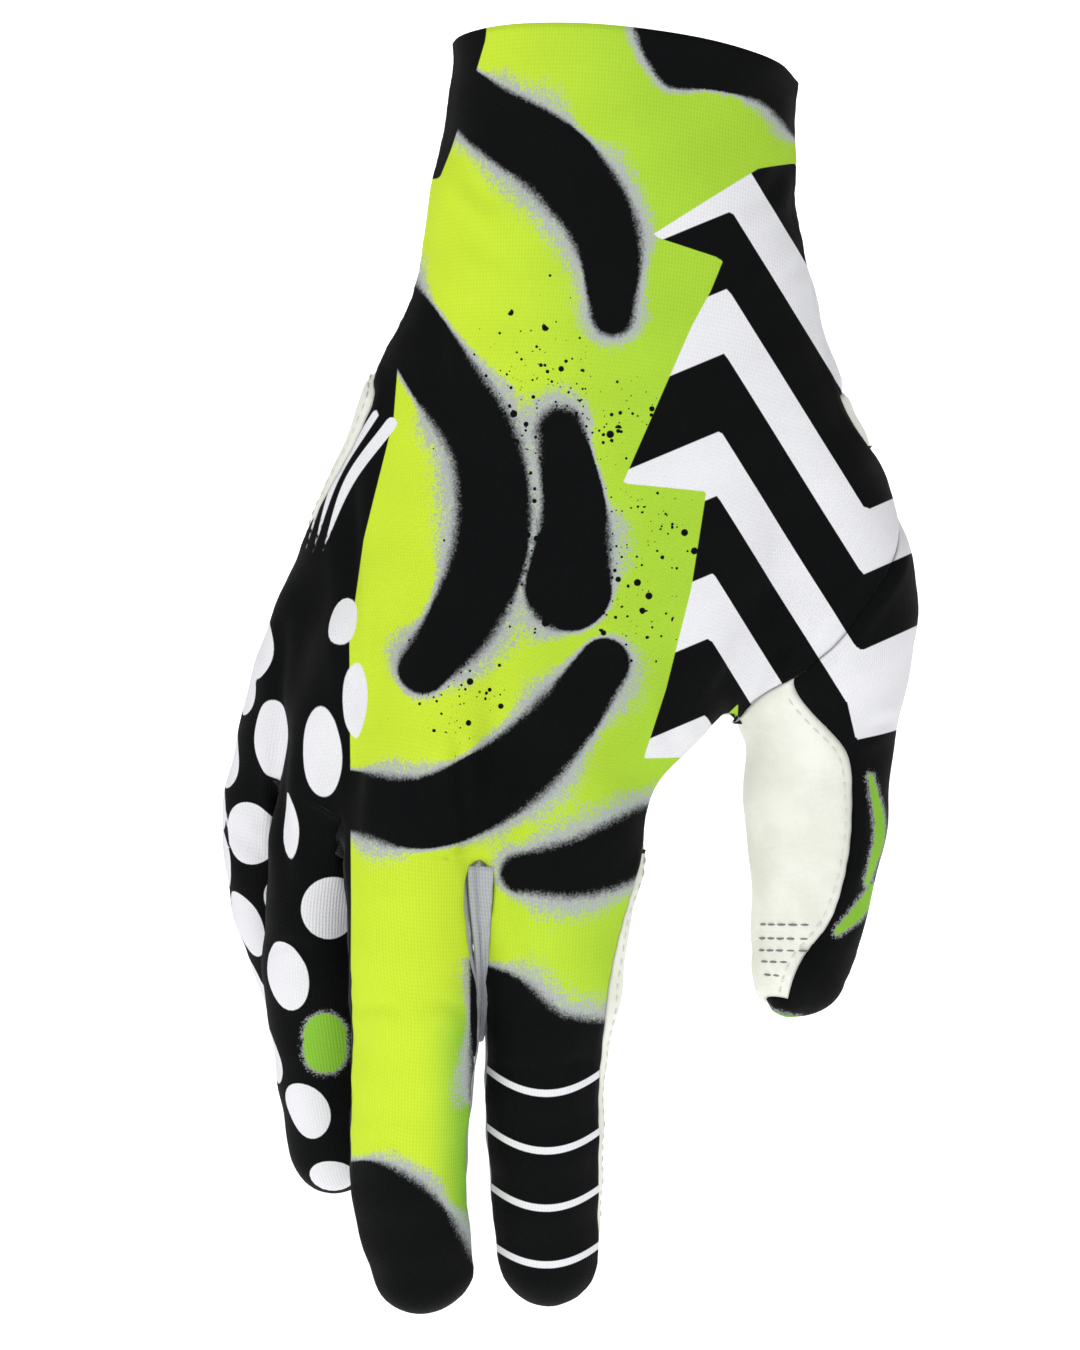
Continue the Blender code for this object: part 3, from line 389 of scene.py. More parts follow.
class Slot:
    """The space between two neighbouring fingers: a thin slice with a rounded bottom in their crotch."""

    SAMPLES = 40
    DEPTH_SHARE = 0.66

    def __init__(self, first: Tube, second: Tube) -> None:
        """Runs the slice midway between the two fingers and on past their tips."""
        share = np.linspace(0, 1, self.SAMPLES)
        one, two = (
            tube.at(tube.knots[CROTCH_SECTION] + (tube.length - tube.knots[CROTCH_SECTION]) * share)
            for tube in (first, second)
        )
        middle = mix(one.centre, two.centre, one.half_width / (one.half_width + two.half_width))
        across = unit(two.centre - one.centre)
        along = np.gradient(middle, axis=0)
        along = unit(along - along_axis(along, across)[..., None] * across)
        travelled = np.concatenate([[0], np.cumsum(np.linalg.norm(np.diff(middle, axis=0), axis=1))])
        keep = travelled >= SLOT_START
        narrowing = 1 - smooth((travelled[keep] - travelled[keep][0]) / SLOT_RUN)
        half = (SIZES.finger_gap + (SIZES.crotch_gap - SIZES.finger_gap) * narrowing) / 2
        beyond = np.linspace(0.15, 1.8, 8)[:, None] * SIZES.finger
        self.middle = np.concatenate([middle[keep], middle[-1] + along[-1] * beyond])
        self.across = np.concatenate([across[keep], np.repeat(across[-1:], len(beyond), 0)])
        self.along = np.concatenate([along[keep], np.repeat(along[-1:], len(beyond), 0)])
        self.half = np.concatenate([half, np.repeat(half[-1:], len(beyond))])

    def inside(self, p: Array) -> Array:
        """How far each point is inside the slot, negative outside it."""
        j = np.argmin((self.middle ** 2).sum(1)[None] - 2 * p @ self.middle.T, axis=1)
        d = p - self.middle[j]
        x, z = along_axis(d, self.across[j]), along_axis(d, self.along[j])
        y = along_axis(d, np.cross(self.along[j], self.across[j]))
        radius = np.where((j == 0) & (z < 0), np.hypot(x, z), np.abs(x))
        return self.half[j] - radius - 2 * np.maximum(0, np.abs(y) - self.DEPTH_SHARE * SIZES.finger)


@dataclass
class Rays:
    """Rays from inside the hand to its surface, with the roundness of the joins that each one meets."""

    base: Array
    target: Array
    blend: Array | float = HAND_BLEND

    def direction(self) -> Array:
        """Unit vectors along the rays."""
        return unit(self.target - self.base)

    def length(self) -> Array:
        """Distances from base to target."""
        return np.linalg.norm(self.target - self.base, axis=-1)

    def mixed(self, other: Rays, w: Array) -> Rays:
        """These rays where the weight is 0 and the others where it is 1."""
        return Rays(mix(self.base, other.base, w), mix(self.target, other.target, w), self.blend)

    def fanned(self, last: Rays, w: Array, bend: float = 1) -> Rays:
        """Rays that turn from these to the last ones as the weight grows."""
        base = mix(self.base, last.base, w)
        turned = unit(mix(self.direction(), last.direction(), w ** bend))
        length = self.length() + (last.length() - self.length()) * w
        return Rays(base, base + turned * length[..., None], self.blend)


class HandForm:
    """The hand's outer form: a smooth union of tubes with slots between the fingers."""

    MARCH_STEPS = 12
    POLISH_STEPS = 4
    PROBE = 1e-5
    NORMAL_PROBE = 2e-4
    LONGEST_STEP = 0.002
    FLATTEST = 0.15
    EASE_STEPS = (60, 35, 20, 8, 0)

    def __init__(self) -> None:
        """Makes the tubes from their tables."""
        mouth = [(0.0, d, 0.0, SIZES.cuff_width / SIZES.breadth / 2, 0.5, 0) for d in (-CUFF_OVERRUN, 0.0)]
        self.body = Tube(mouth + BODY_SECTIONS, SIZES.breadth, SIZES.cuff_depth)
        tables = (LITTLE_SECTIONS, RING_SECTIONS, MIDDLE_SECTIONS, INDEX_SECTIONS)
        self.fingers = [Tube(table, SIZES.finger, SIZES.finger) for table in tables]
        self.thumb = Tube(THUMB_SECTIONS, SIZES.thumb, SIZES.thumb)
        self.ball = Tube(THUMB_BALL_SECTIONS, SIZES.thumb, SIZES.thumb)
        self.web = Tube(WEB_SECTIONS, SIZES.finger, SIZES.finger)
        self.slots = [Slot(a, b) for a, b in zip(self.fingers, self.fingers[1:])]

    def level(self, p: Array, blend: Array) -> Array:
        """The form at each point: 0 on its surface, negative inside."""
        f = self.body.distance(p)
        for finger in self.fingers:
            f = smooth_min(f, finger.distance(p), blend)
        f = smooth_min(f, self.ball.distance(p), WEB_BLEND)
        f = smooth_min(f, self.web.distance(p), WEB_BLEND)
        f = smooth_min(f, self.thumb.distance(p), THUMB_ROOT_BLEND)
        for slot in self.slots:
            f = -smooth_min(-f, -slot.inside(p), SLOT_BLEND)
        return f

    def reach(self, rays: Rays) -> tuple[Array, Array]:
        """Where the rays meet the surface.

        Each point first walks by 0.9 of its distance to the surface, and then by Newton's rule.

        Args:
            rays: The rays, of any shape of grid.

        Returns:
            The points, and the outward normals there.
        """
        shape = rays.base.shape
        base, ray = rays.base.reshape(-1, 3), rays.direction().reshape(-1, 3)
        blend = np.broadcast_to(rays.blend, shape[:-1]).reshape(-1)
        t = np.zeros(len(base))
        for _ in range(self.MARCH_STEPS):
            t -= 0.9 * self.level(base + ray * t[:, None], blend)
        for _ in range(self.POLISH_STEPS):
            here = self.level(base + ray * t[:, None], blend)
            slope = (self.level(base + ray * (t + self.PROBE)[:, None], blend) - here) / self.PROBE
            t -= np.clip(here / np.maximum(slope, self.FLATTEST), -self.LONGEST_STEP, self.LONGEST_STEP)
        found = base + ray * t[:, None]
        return found.reshape(shape), self.normal(found, blend).reshape(shape)

    def normal(self, p: Array, blend: Array) -> Array:
        """Outward normals at these points."""
        reach = self.NORMAL_PROBE
        ahead = [self.level(p + axis * reach, blend) - self.level(p - axis * reach, blend) for axis in np.eye(3)]
        return unit(np.stack(ahead, -1))

    def eased(self, points: Array, blend: Array | float) -> tuple[Array, Array]:
        """Evens out a grid's inner points on the surface, so that no row folds back over another.

        Args:
            points: The grid's points on the surface. Its edges stay as they are.
            blend: The roundness of the joins at each point.

        Returns:
            The points, and the outward normals there.
        """
        points, shape = points.copy(), points.shape
        blend = np.broadcast_to(blend, shape[:-1]).reshape(-1)
        for steps in self.EASE_STEPS:
            for _ in range(steps):
                around = points[:-2, 1:-1] + points[2:, 1:-1] + points[1:-1, :-2] + points[1:-1, 2:]
                points[1:-1, 1:-1] = (points[1:-1, 1:-1] + around / 4) / 2
            flat = points.reshape(-1, 3)
            off = np.clip(self.level(flat, blend), -self.LONGEST_STEP, self.LONGEST_STEP)[:, None]
            moved = (flat - off * self.normal(flat, blend)).reshape(shape)
            points[1:-1, 1:-1] = moved[1:-1, 1:-1]
        return points, self.normal(points.reshape(-1, 3), blend).reshape(shape)


FORM = HandForm()
FINGERS = FORM.fingers
INDEX = len(FINGERS) - 1


def finger_in_hand(finger: Tube, share: Array) -> Array:
    """Distance along a finger's tube for this share of the way from the cuff to the knuckles."""
    inside = np.clip((share - FINGER_ROOTS) / (1 - FINGER_ROOTS), 0, 1)
    return finger.knots[0] + (finger.knots[KNUCKLE_SECTION] - finger.knots[0]) * inside


def finger_past_knuckle(finger: Tube, share: Array) -> Array:
    """Distance along a finger's tube for this share of the way from knuckle to crotch."""
    knuckle, crotch = finger.knots[KNUCKLE_SECTION], finger.knots[CROTCH_SECTION]
    return knuckle + (crotch - knuckle) * share


def finger_past_crotch(finger: Tube, share: Array) -> Array:
    """Distance along a finger's tube for this share of the way from crotch to tip."""
    return finger.knots[CROTCH_SECTION] + (finger.length - finger.knots[CROTCH_SECTION]) * share


def thumb_ring(turn: Array) -> tuple[Rays, Array, Array]:
    """The seam around the thumb's root.

    Args:
        turn: Share of the way round, 0 and 1 at the top of the seam and 0.5 in the web.

    Returns:
        Rays to the seam, the distances along the thumb and the angles around it.
    """
    rows = np.array(THUMB_SEAM_RING, float)
    found = curve_through(np.linspace(0, 1, len(rows)), rows, turn)
    s = FORM.thumb.at_height(-found[..., 0] * SIZES.length)
    angle = np.radians(found[..., 1])
    section = FORM.thumb.at(s)
    from_crotch = np.abs(turn - 0.5) * (len(rows) - 1)
    inside = np.broadcast_to(place(*WEB_INSIDE), section.centre.shape)
    base = mix(section.centre, inside, smooth(1 - from_crotch / 3))
    target = section.point(angle)
    target = mix(target, np.broadcast_to(place(*WEB_EDGE), target.shape), smooth(1 - from_crotch))
    return Rays(base, target), s, angle


def thumb_side_in_hand(share: Array, side: Side) -> Rays:
    """Rays to the seam on the thumb's side, from the cuff to the web."""
    section = FORM.body.at(FORM.body.at_height(-share * SIZES.knuckle_down * SIZES.length))
    side_rays = Rays(
        section.centre + section.across * (WRIST_INSET * section.half_width)[..., None],
        section.centre + section.across * section.half_width[..., None],
    )
    down = np.minimum(share * SIZES.knuckle_down, THUMB_SEAM_RING[0][0])
    thumb = FORM.thumb.at(FORM.thumb.at_height(-down * SIZES.length))
    top = np.full(share.shape, math.radians(THUMB_SEAM_RING[0][1]))
    w = smooth((share - THUMB_BLEND[0]) / (THUMB_BLEND[1] - THUMB_BLEND[0]))
    rays = side_rays.mixed(Rays(thumb.centre, thumb.point(top)), w)
    round_share = np.clip((share - THUMB_BLEND[1]) / (1 - THUMB_BLEND[1]), 0, 1)
    ring, _, _ = thumb_ring(round_share / 2 if side is Side.BACK else 1 - round_share / 2)
    on_ring = (share >= THUMB_BLEND[1])[..., None]
    return Rays(np.where(on_ring, ring.base, rays.base), np.where(on_ring, ring.target, rays.target))


def thumb_side_past_knuckle(share: Array) -> Rays:
    """Rays to the seam from the web to the index finger's side."""
    rows = np.array(WEB_SEAM, float)
    found = curve_through(rows[:, 0], rows[:, 1:], share)
    base, target = (place(*np.moveaxis(part, -1, 0)) for part in (found[..., :3], found[..., 3:]))
    return Rays(base, target)


def between(k: int, other: int, distance_at: Callable, share: Array) -> tuple[Array, Array, Array, Array]:
    """Midway between two fingers: the point, its outward and along directions, and its half depth."""
    here = FINGERS[k].at(distance_at(FINGERS[k], share))
    there = FINGERS[other].at(distance_at(FINGERS[other], share))
    across = unit(there.centre - here.centre) * (other - k)
    along = unit(here.along + there.along)
    along = unit(along - along_axis(along, across)[..., None] * across)
    middle = mix(here.centre, there.centre, here.half_width / (here.half_width + there.half_width))
    return middle, np.cross(along, across), along, (here.half_depth + there.half_depth) / 2


def heel_wrap(share: Array) -> Array:
    """Angle by which the leather wraps on to the back at the heel of the hand."""
    start, full, fade, end = HEEL_RANGE
    return HEEL_WRAP * smooth((share - start) / (full - start)) * smooth((end - share) / (end - fade))


def strip_rays(
    k: int, distance_at: Callable, share: Array, q: Array, side: Side, thumb_side: Rays, wrap: Array
) -> Rays:
    """Rays to one finger's strip of the hand.

    Args:
        k: The finger, 0 the little one.
        distance_at: Gives the distance along a finger for a share of this stretch.
        share: Share of the way along the stretch.
        q: Place across the strip, -1 to 1.
        side: Back or palm.
        thumb_side: Rays to the seam on the thumb's side.
        wrap: Angle by which the seam at the little finger's side moves on to the back.

    Returns:
        The rays.
    """
    section = FINGERS[k].at(distance_at(FINGERS[k], share))
    w = np.abs(q)
    base, target = np.empty(section.centre.shape), np.empty(section.centre.shape)
    for sign in (-1, 1):
        here = q * sign >= 0
        other = k + sign
        if 0 <= other < len(FINGERS):
            middle, outward, _, depth = between(k, other, distance_at, share)
            ray_base = mix(section.centre, middle, w)
            reach = section.half_depth + (depth - section.half_depth) * w
            ray_target = ray_base + side.value * unit(mix(section.back, outward, w)) * reach[..., None]
        elif sign < 0:
            ray_base = section.centre
            ray_target = section.point(-w * (np.pi / 2 - side.value * wrap), side)
        else:
            straight = Rays(section.centre, section.point(np.zeros_like(w), side))
            turned = straight.fanned(thumb_side, w, 3)
            ray_base, ray_target = turned.base, turned.target
        base[here], target[here] = ray_base[here], ray_target[here]
    return Rays(base, target)


def wrist_rays(share: Array, angle: Array, side: Side) -> Rays:
    """Rays from beside the wrist's middle line to points at their row's own height."""
    height = -share * SIZES.knuckle_down * SIZES.length
    s = FORM.body.at_height(height)
    for _ in range(3):
        section = FORM.body.at(s)
        s = FORM.body.at_height(section.centre[..., 2] + height - section.point(angle, side)[..., 2])
    section = FORM.body.at(s)
    start, end = THUMB_INSET_RANGE
    inset = WRIST_INSET + np.where(angle > 0, THUMB_INSET_EXTRA * smooth((share - start) / (end - start)), 0)
    base = section.centre + section.across * (inset * section.half_width * np.sin(angle))[..., None]
    return Rays(base, section.point(angle, side))


def hand_rays(k: int, share: Array, q: Array, side: Side) -> Rays:
    """From the cuff's mouth to the knuckles: the wrist's sections, which turn into the fingers' strips."""
    wrap = heel_wrap(share)
    edge = thumb_side_in_hand(share, side)
    by_thumb = (k == INDEX) & (q > 0)
    angle = ((k + (np.where(by_thumb, 0, q) + 1) / 2) / 2 - 1) * np.pi / 2
    angle = angle + side.value * wrap * np.clip(-angle / (np.pi / 2), 0, 1)
    rays = wrist_rays(share, angle, side)
    if by_thumb.any():
        rays = rays.fanned(edge, np.where(by_thumb, q, 0))
    slope_x, slope_y = -SIZES.rim_drop / SIZES.cuff_width, -SIZES.rim_rise / SIZES.cuff_depth
    tilt = (slope_x * rays.target[..., 0] + slope_y * rays.target[..., 1]) * np.clip(1 - share / RIM_RANGE, 0, 1)
    rays.target[..., 2] += tilt
    rays.base[..., 2] += tilt
    w = smooth((share - FINGERS_BLEND[0]) / (FINGERS_BLEND[1] - FINGERS_BLEND[0]))
    return rays.mixed(strip_rays(k, finger_in_hand, share, q, side, edge, wrap), w)


def knuckle_rays(k: int, share: Array, q: Array, side: Side) -> Rays:
    """From the knuckles to the finger crotches."""
    edge = thumb_side_past_knuckle(share)
    return strip_rays(k, finger_past_knuckle, share, q, side, edge, np.zeros_like(share))


def seam_angle(k: int, sign: int, share: Array, side: Side) -> Array:
    """Angle of the panel's edge on this side of the finger, from the finger's back or front."""
    if k == 0 and sign < 0:
        seam = LITTLE_SIDE_SEAM
    elif k == INDEX and sign > 0:
        seam = INDEX_SIDE_SEAM
    else:
        seam = FOURCHETTE_SEAMS
    rows = np.array(seam, float)
    return np.radians(np.interp(share, rows[:, 0], rows[:, 1 if side is Side.BACK else 2]))


def finger_rays(k: int, share: Array, q: Array, side: Side) -> Rays:
    """From the crotch to the centre of the fingertip."""
    section = FINGERS[k].at(finger_past_crotch(FINGERS[k], share))
    angle = q * np.where(q < 0, seam_angle(k, -1, share, side), seam_angle(k, 1, share, side))
    crotch = knuckle_rays(k, np.ones_like(share), q, side)
    return crotch.mixed(Rays(section.centre, section.point(angle, side)), smooth(share / CROTCH_RANGE))


def tip_rays(k: int, share: Array, q: Array, side: Side) -> Rays:
    """Over a fingertip: a patch of the round end, blended from its first row, its sides and the tip's seam."""
    section = FINGERS[k].at(np.full(share.shape, FINGERS[k].length))
    zero = np.zeros_like(share)
    left, right = seam_angle(k, -1, zero + 1, side), seam_angle(k, 1, zero + 1, side)
    turn = np.pi / 2 - share * np.pi / 4
    corner = math.sin(math.pi / 4)

    def direction(x: Array, y: Array, z: Array) -> Array:
        """Stacks the parts across, outward and along."""
        return np.stack([x + zero, y + zero, z + zero], -1)

    def edge(sign: int, seam: Array) -> Array:
        """The patch's side, which sinks from the finger's seam to the tip's."""
        return direction(sign * np.sin(turn), np.cos(seam) * (1 - share) ** 2, np.cos(turn))

    start_angle = q * np.where(q < 0, left, right)
    v = (q + 1) / 2
    ends = mix(
        direction(np.sin(start_angle), np.cos(start_angle), zero),
        direction(np.sin(q * np.pi / 4), zero, np.cos(q * np.pi / 4)),
        share,
    )
    corners = mix(
        mix(direction(-np.sin(left), np.cos(left), zero), direction(np.sin(right), np.cos(right), zero), v),
        mix(direction(-corner, zero, corner), direction(corner, zero, corner), v),
        share,
    )
    d = unit(ends + mix(edge(-1, left), edge(1, right), v) - corners)
    reach = (
        section.across * (d[..., 0] * section.half_width)[..., None]
        + side.value * section.back * (d[..., 1] * section.half_depth)[..., None]
        + section.along * (d[..., 2] * (section.half_width + section.half_depth) / 2)[..., None]
    )
    return Rays(section.centre, section.centre + reach)


def crotch_blend(share: Array) -> Array:
    """Roundness of the joins, which shrinks from the crotch down the finger."""
    return CROTCH_BLEND + (TIP_BLEND - CROTCH_BLEND) * smooth(share / BLEND_RANGE)


def zone_rays(zone: Zone, k: int, share: Array, q: Array, side: Side) -> Rays:
    """Rays of one zone of a finger's strip, with the roundness of its joins."""
    if zone is Zone.HAND:
        rays = hand_rays(k, share, q, side)
        rays.blend = np.full(share.shape, HAND_BLEND)
    elif zone is Zone.KNUCKLE:
        rays = knuckle_rays(k, share, q, side)
        rays.blend = HAND_BLEND + (CROTCH_BLEND - HAND_BLEND) * share
    elif zone is Zone.FINGER:
        rays = finger_rays(k, share, q, side)
        rays.blend = crotch_blend(share)
    else:
        rays = tip_rays(k, share, q, side)
        rays.blend = np.full(share.shape, TIP_BLEND)
    return rays


# ---- Relief: folds, creases and the dip along the seams ----

# Places in the print and of the folds are in units of 0.19 mm, measured right and down on the front view
UNIT = 0.00019
ORIGIN_RIGHT, ORIGIN_DOWN = 625.0, 65.0
Place = tuple[float, float]


def view_places(p: Array) -> tuple[Array, Array]:
    """How far right and down each point is on the front view, in its units."""
    return p[..., 0] / UNIT + ORIGIN_RIGHT, ORIGIN_DOWN - p[..., 2] / UNIT


def line_distance(right: Array, down: Array, line: Sequence[Place]) -> tuple[Array, Array]:
    """Distance from each place to a line of straight pieces.

    Args:
        right: How far right each place is.
        down: How far down each place is.
        line: The line's corners.

    Returns:
        The distance in the view's units, and the share of the line's length at its nearest point.
    """
    corners = np.array(line, float)
    span = np.diff(corners, axis=0)
    length = np.linalg.norm(span, axis=1)
    start = np.concatenate([[0], np.cumsum(length)])
    x, y = right[..., None] - corners[:-1, 0], down[..., None] - corners[:-1, 1]
    h = np.clip((x * span[:, 0] + y * span[:, 1]) / length ** 2, 0, 1)
    gap = np.hypot(x - h * span[:, 0], y - h * span[:, 1])
    nearest = np.argmin(gap, axis=-1)[..., None]
    found = np.take_along_axis(gap, nearest, -1)[..., 0]
    share = np.take_along_axis((start[:-1] + h * length) / start[-1], nearest, -1)[..., 0]
    return found, share


def inside_outline(right: Array, down: Array, outline: Sequence[Place]) -> Array:
    """Distance into a closed outline in the view's units, negative outside it."""
    corners = np.array(outline, float)
    gap, _ = line_distance(right, down, np.concatenate([corners, corners[:1]]))
    x, y = corners.T
    next_x, next_y = np.roll(x, -1), np.roll(y, -1)
    rise = np.where(next_y == y, 1e-9, next_y - y)
    spans = (y > down[..., None]) != (next_y > down[..., None])
    crossing = x + (next_x - x) * (down[..., None] - y) / rise
    within = (spans & (right[..., None] < crossing)).sum(-1) % 2 == 1
    return np.where(within, gap, -gap)


@dataclass(frozen=True)
class Fold:
    """A crease in the cloth along a line of the front view, with a soft ridge on each side."""

    line: Sequence[Place]
    depth: float
    width: float
    side: Side = Side.BACK
    ridge: float = 0.35

    def press(self, right: Array, down: Array, facing: Array) -> Array:
        """How far the fold raises each point, in metres, less than 0 in the crease."""
        gap, share = line_distance(right, down, self.line)
        across = gap * UNIT / self.width
        ends = np.sqrt(np.clip(4 * share * (1 - share), 0, 1))
        shape = -np.exp(-across ** 2) + self.ridge * np.exp(-((across - 2.0) / 0.9) ** 2)
        return self.depth * shape * ends * smooth((self.side.value * facing - 0.05) / 0.35)


BACK_FOLDS = [
    Fold([(352, 470), (350, 560), (353, 640), (352, 720)], 0.0011, 0.0016),
    Fold([(282, 610), (276, 700), (279, 790), (284, 890)], 0.0010, 0.0014),
    Fold([(457, 728), (464, 800), (466, 872)], 0.0009, 0.0012),
    Fold([(352, 720), (356, 800), (352, 900)], 0.0006, 0.0014),
    Fold([(800, 676), (832, 640), (866, 596), (898, 548)], 0.0009, 0.0016),
    Fold([(745, 712), (770, 668), (792, 640)], 0.0008, 0.0013),
    Fold([(708, 716), (728, 672), (742, 632)], 0.0005, 0.0014),
    Fold([(672, 760), (668, 700), (678, 650)], 0.0005, 0.0016),
    Fold([(452, 150), (470, 190), (500, 214)], 0.0006, 0.0015),
    Fold([(444, 196), (470, 244), (510, 270)], 0.0005, 0.0018),
    Fold([(796, 150), (770, 196), (742, 220)], 0.0006, 0.0016),
    Fold([(812, 250), (784, 282), (752, 300)], 0.0004, 0.0016),
    Fold([(420, 262), (440, 320), (436, 390)], 0.0005, 0.0018),
    Fold([(486, 1076), (515, 1068), (548, 1070)], 0.0003, 0.0011),
    Fold([(600, 1066), (580, 1062), (560, 1068)], 0.0003, 0.0011),
    Fold([(352, 1010), (378, 1002), (404, 1008)], 0.0004, 0.0012),
    Fold([(468, 1012), (444, 1000), (422, 1006)], 0.0005, 0.0012),
    Fold([(352, 1150), (384, 1140), (410, 1146)], 0.0003, 0.0012),
    Fold([(266, 950), (288, 944), (312, 950)], 0.0004, 0.0011),
    Fold([(232, 830), (246, 846), (262, 850)], 0.0004, 0.0012),
    Fold([(868, 860), (850, 850), (832, 856)], 0.0004, 0.0012),
    Fold([(897, 720), (876, 726), (858, 742)], 0.0006, 0.0013),
    Fold([(500, 884), (520, 950), (514, 1010)], 0.0003, 0.0016),
    Fold([(640, 880), (618, 930), (604, 980)], 0.0003, 0.0016),
]
PALM_FOLDS = [
    Fold([(700, 700), (640, 560), (622, 470), (640, 400)], 0.0012, 0.0019, Side.PALM),
    Fold([(640, 700), (560, 640), (470, 640), (380, 690)], 0.0010, 0.0018, Side.PALM),
    Fold([(600, 800), (520, 770), (440, 760), (350, 800)], 0.0009, 0.0017, Side.PALM),
    Fold([(420, 330), (520, 350), (640, 340), (760, 320)], 0.0007, 0.0018, Side.PALM),
    Fold([(440, 270), (560, 288), (700, 276)], 0.0005, 0.0018, Side.PALM),
    Fold([(490, 1078), (545, 1084), (604, 1076)], 0.0008, 0.0013, Side.PALM),
    Fold([(494, 1190), (545, 1196), (596, 1188)], 0.0007, 0.0013, Side.PALM),
    Fold([(356, 1004), (410, 1010), (470, 1002)], 0.0008, 0.0013, Side.PALM),
    Fold([(356, 1140), (410, 1146), (468, 1138)], 0.0007, 0.0013, Side.PALM),
    Fold([(262, 950), (300, 956), (340, 946)], 0.0007, 0.0012, Side.PALM),
    Fold([(276, 1060), (306, 1066), (342, 1058)], 0.0006, 0.0012, Side.PALM),
    Fold([(228, 800), (250, 808), (276, 800)], 0.0006, 0.0012, Side.PALM),
    Fold([(760, 850), (800, 858), (860, 846)], 0.0007, 0.0013, Side.PALM),
]


@dataclass(frozen=True)
class Relief:
    """How far the cloth stands off the hand's form: unevenness, folds and the dip of the seams."""

    unevenness: float = 0.00030
    seam_dip: float = 0.00048
    seam_width: float = 0.0010
    seam_calm: float = 0.0024        # no fold or unevenness right at a seam, all of it from this distance on
    swell: float = 0.00024
    pucker: float = 0.00006
    pucker_pitch: float = 0.0042
    pucker_width: float = 0.0030
    swell_from_seam: float = 0.0027
    swell_width: float = 0.0014
    flare: float = 0.0004
    flare_width: float = 0.003

    # Waves of the unevenness: wavelengths along x, y and z in metres, and the phase
    WAVES = ((0.046, 0.060, 0.031, 0.4), (-0.028, 0.050, 0.022, 1.9), (0.019, -0.034, 0.041, 4.0),
             (0.060, 0.022, -0.014, 2.7))

    def at(self, p: Array, facing: Array, seam: Array, mouth: Array) -> Array:
        """Height of the cloth over the form.

        Args:
            p: Points on the form.
            facing: How squarely each point faces the front view, 1 to -1.
            seam: Distance to the panel's nearest seam.
            mouth: Distance to the cuff's mouth.

        Returns:
            Heights in metres.
        """
        right, down = view_places(p)
        x, y, z = p[..., 0], p[..., 1], p[..., 2]
        waves = sum(np.sin(2 * np.pi * (x / a + y / b + z / c) + d) for a, b, c, d in self.WAVES)
        height = self.unevenness * waves / len(self.WAVES) * 2
        for fold in BACK_FOLDS + PALM_FOLDS:
            height = height + fold.press(right, down, facing)
        height = height * smooth(seam / self.seam_calm)
        gathers = np.sin(2 * np.pi * (0.7 * x + 0.4 * y + 0.9 * z) / self.pucker_pitch)
        height = height + self.pucker * gathers * np.exp(-(seam / self.pucker_width) ** 2)
        height = height - self.seam_dip * np.exp(-(seam / self.seam_width) ** 2)
        height = height + self.swell * np.exp(-((seam - self.swell_from_seam) / self.swell_width) ** 2)
        return height + self.flare * np.exp(-(mouth / self.flare_width) ** 2)


# ---- The print ----


def rounded(corners: Sequence[Place], pieces: int = 9) -> Array:
    """A smooth line through the corners, as short straight pieces."""
    points = np.array(corners, float)
    if len(points) < 3:
        return points
    knots = np.concatenate([[0], np.cumsum(np.linalg.norm(np.diff(points, axis=0), axis=1))])
    shares = np.linspace(0, 1, pieces + 1)[:-1]
    at = np.concatenate([(knots[:-1, None] + np.diff(knots)[:, None] * shares).ravel(), knots[-1:]])
    return curve_through(knots, points, at)


@dataclass(frozen=True)
class Stroke:
    """A brush stroke of the print: its line, with half widths in the view's units at its corners."""

    line: Sequence[Place]
    half_widths: Sequence[float]

    def inside(self, right: Array, down: Array) -> Array:
        """Distance into the stroke in the view's units, negative outside it."""
        gap, share = line_distance(right, down, rounded(self.line))
        lengths = np.linalg.norm(np.diff(np.array(self.line, float), axis=0), axis=1)
        knots = np.concatenate([[0], np.cumsum(lengths)]) / lengths.sum()
        return curve_through(knots, np.array(self.half_widths, float)[:, None], share)[..., 0] - gap


@dataclass(frozen=True)
class Dot:
    """A round or oval spot: its centre on the front view, its half width and half height, and its finger."""

    right: float
    down: float
    half_width: float
    half_height: float
    finger: int
    turn: float = 0.0


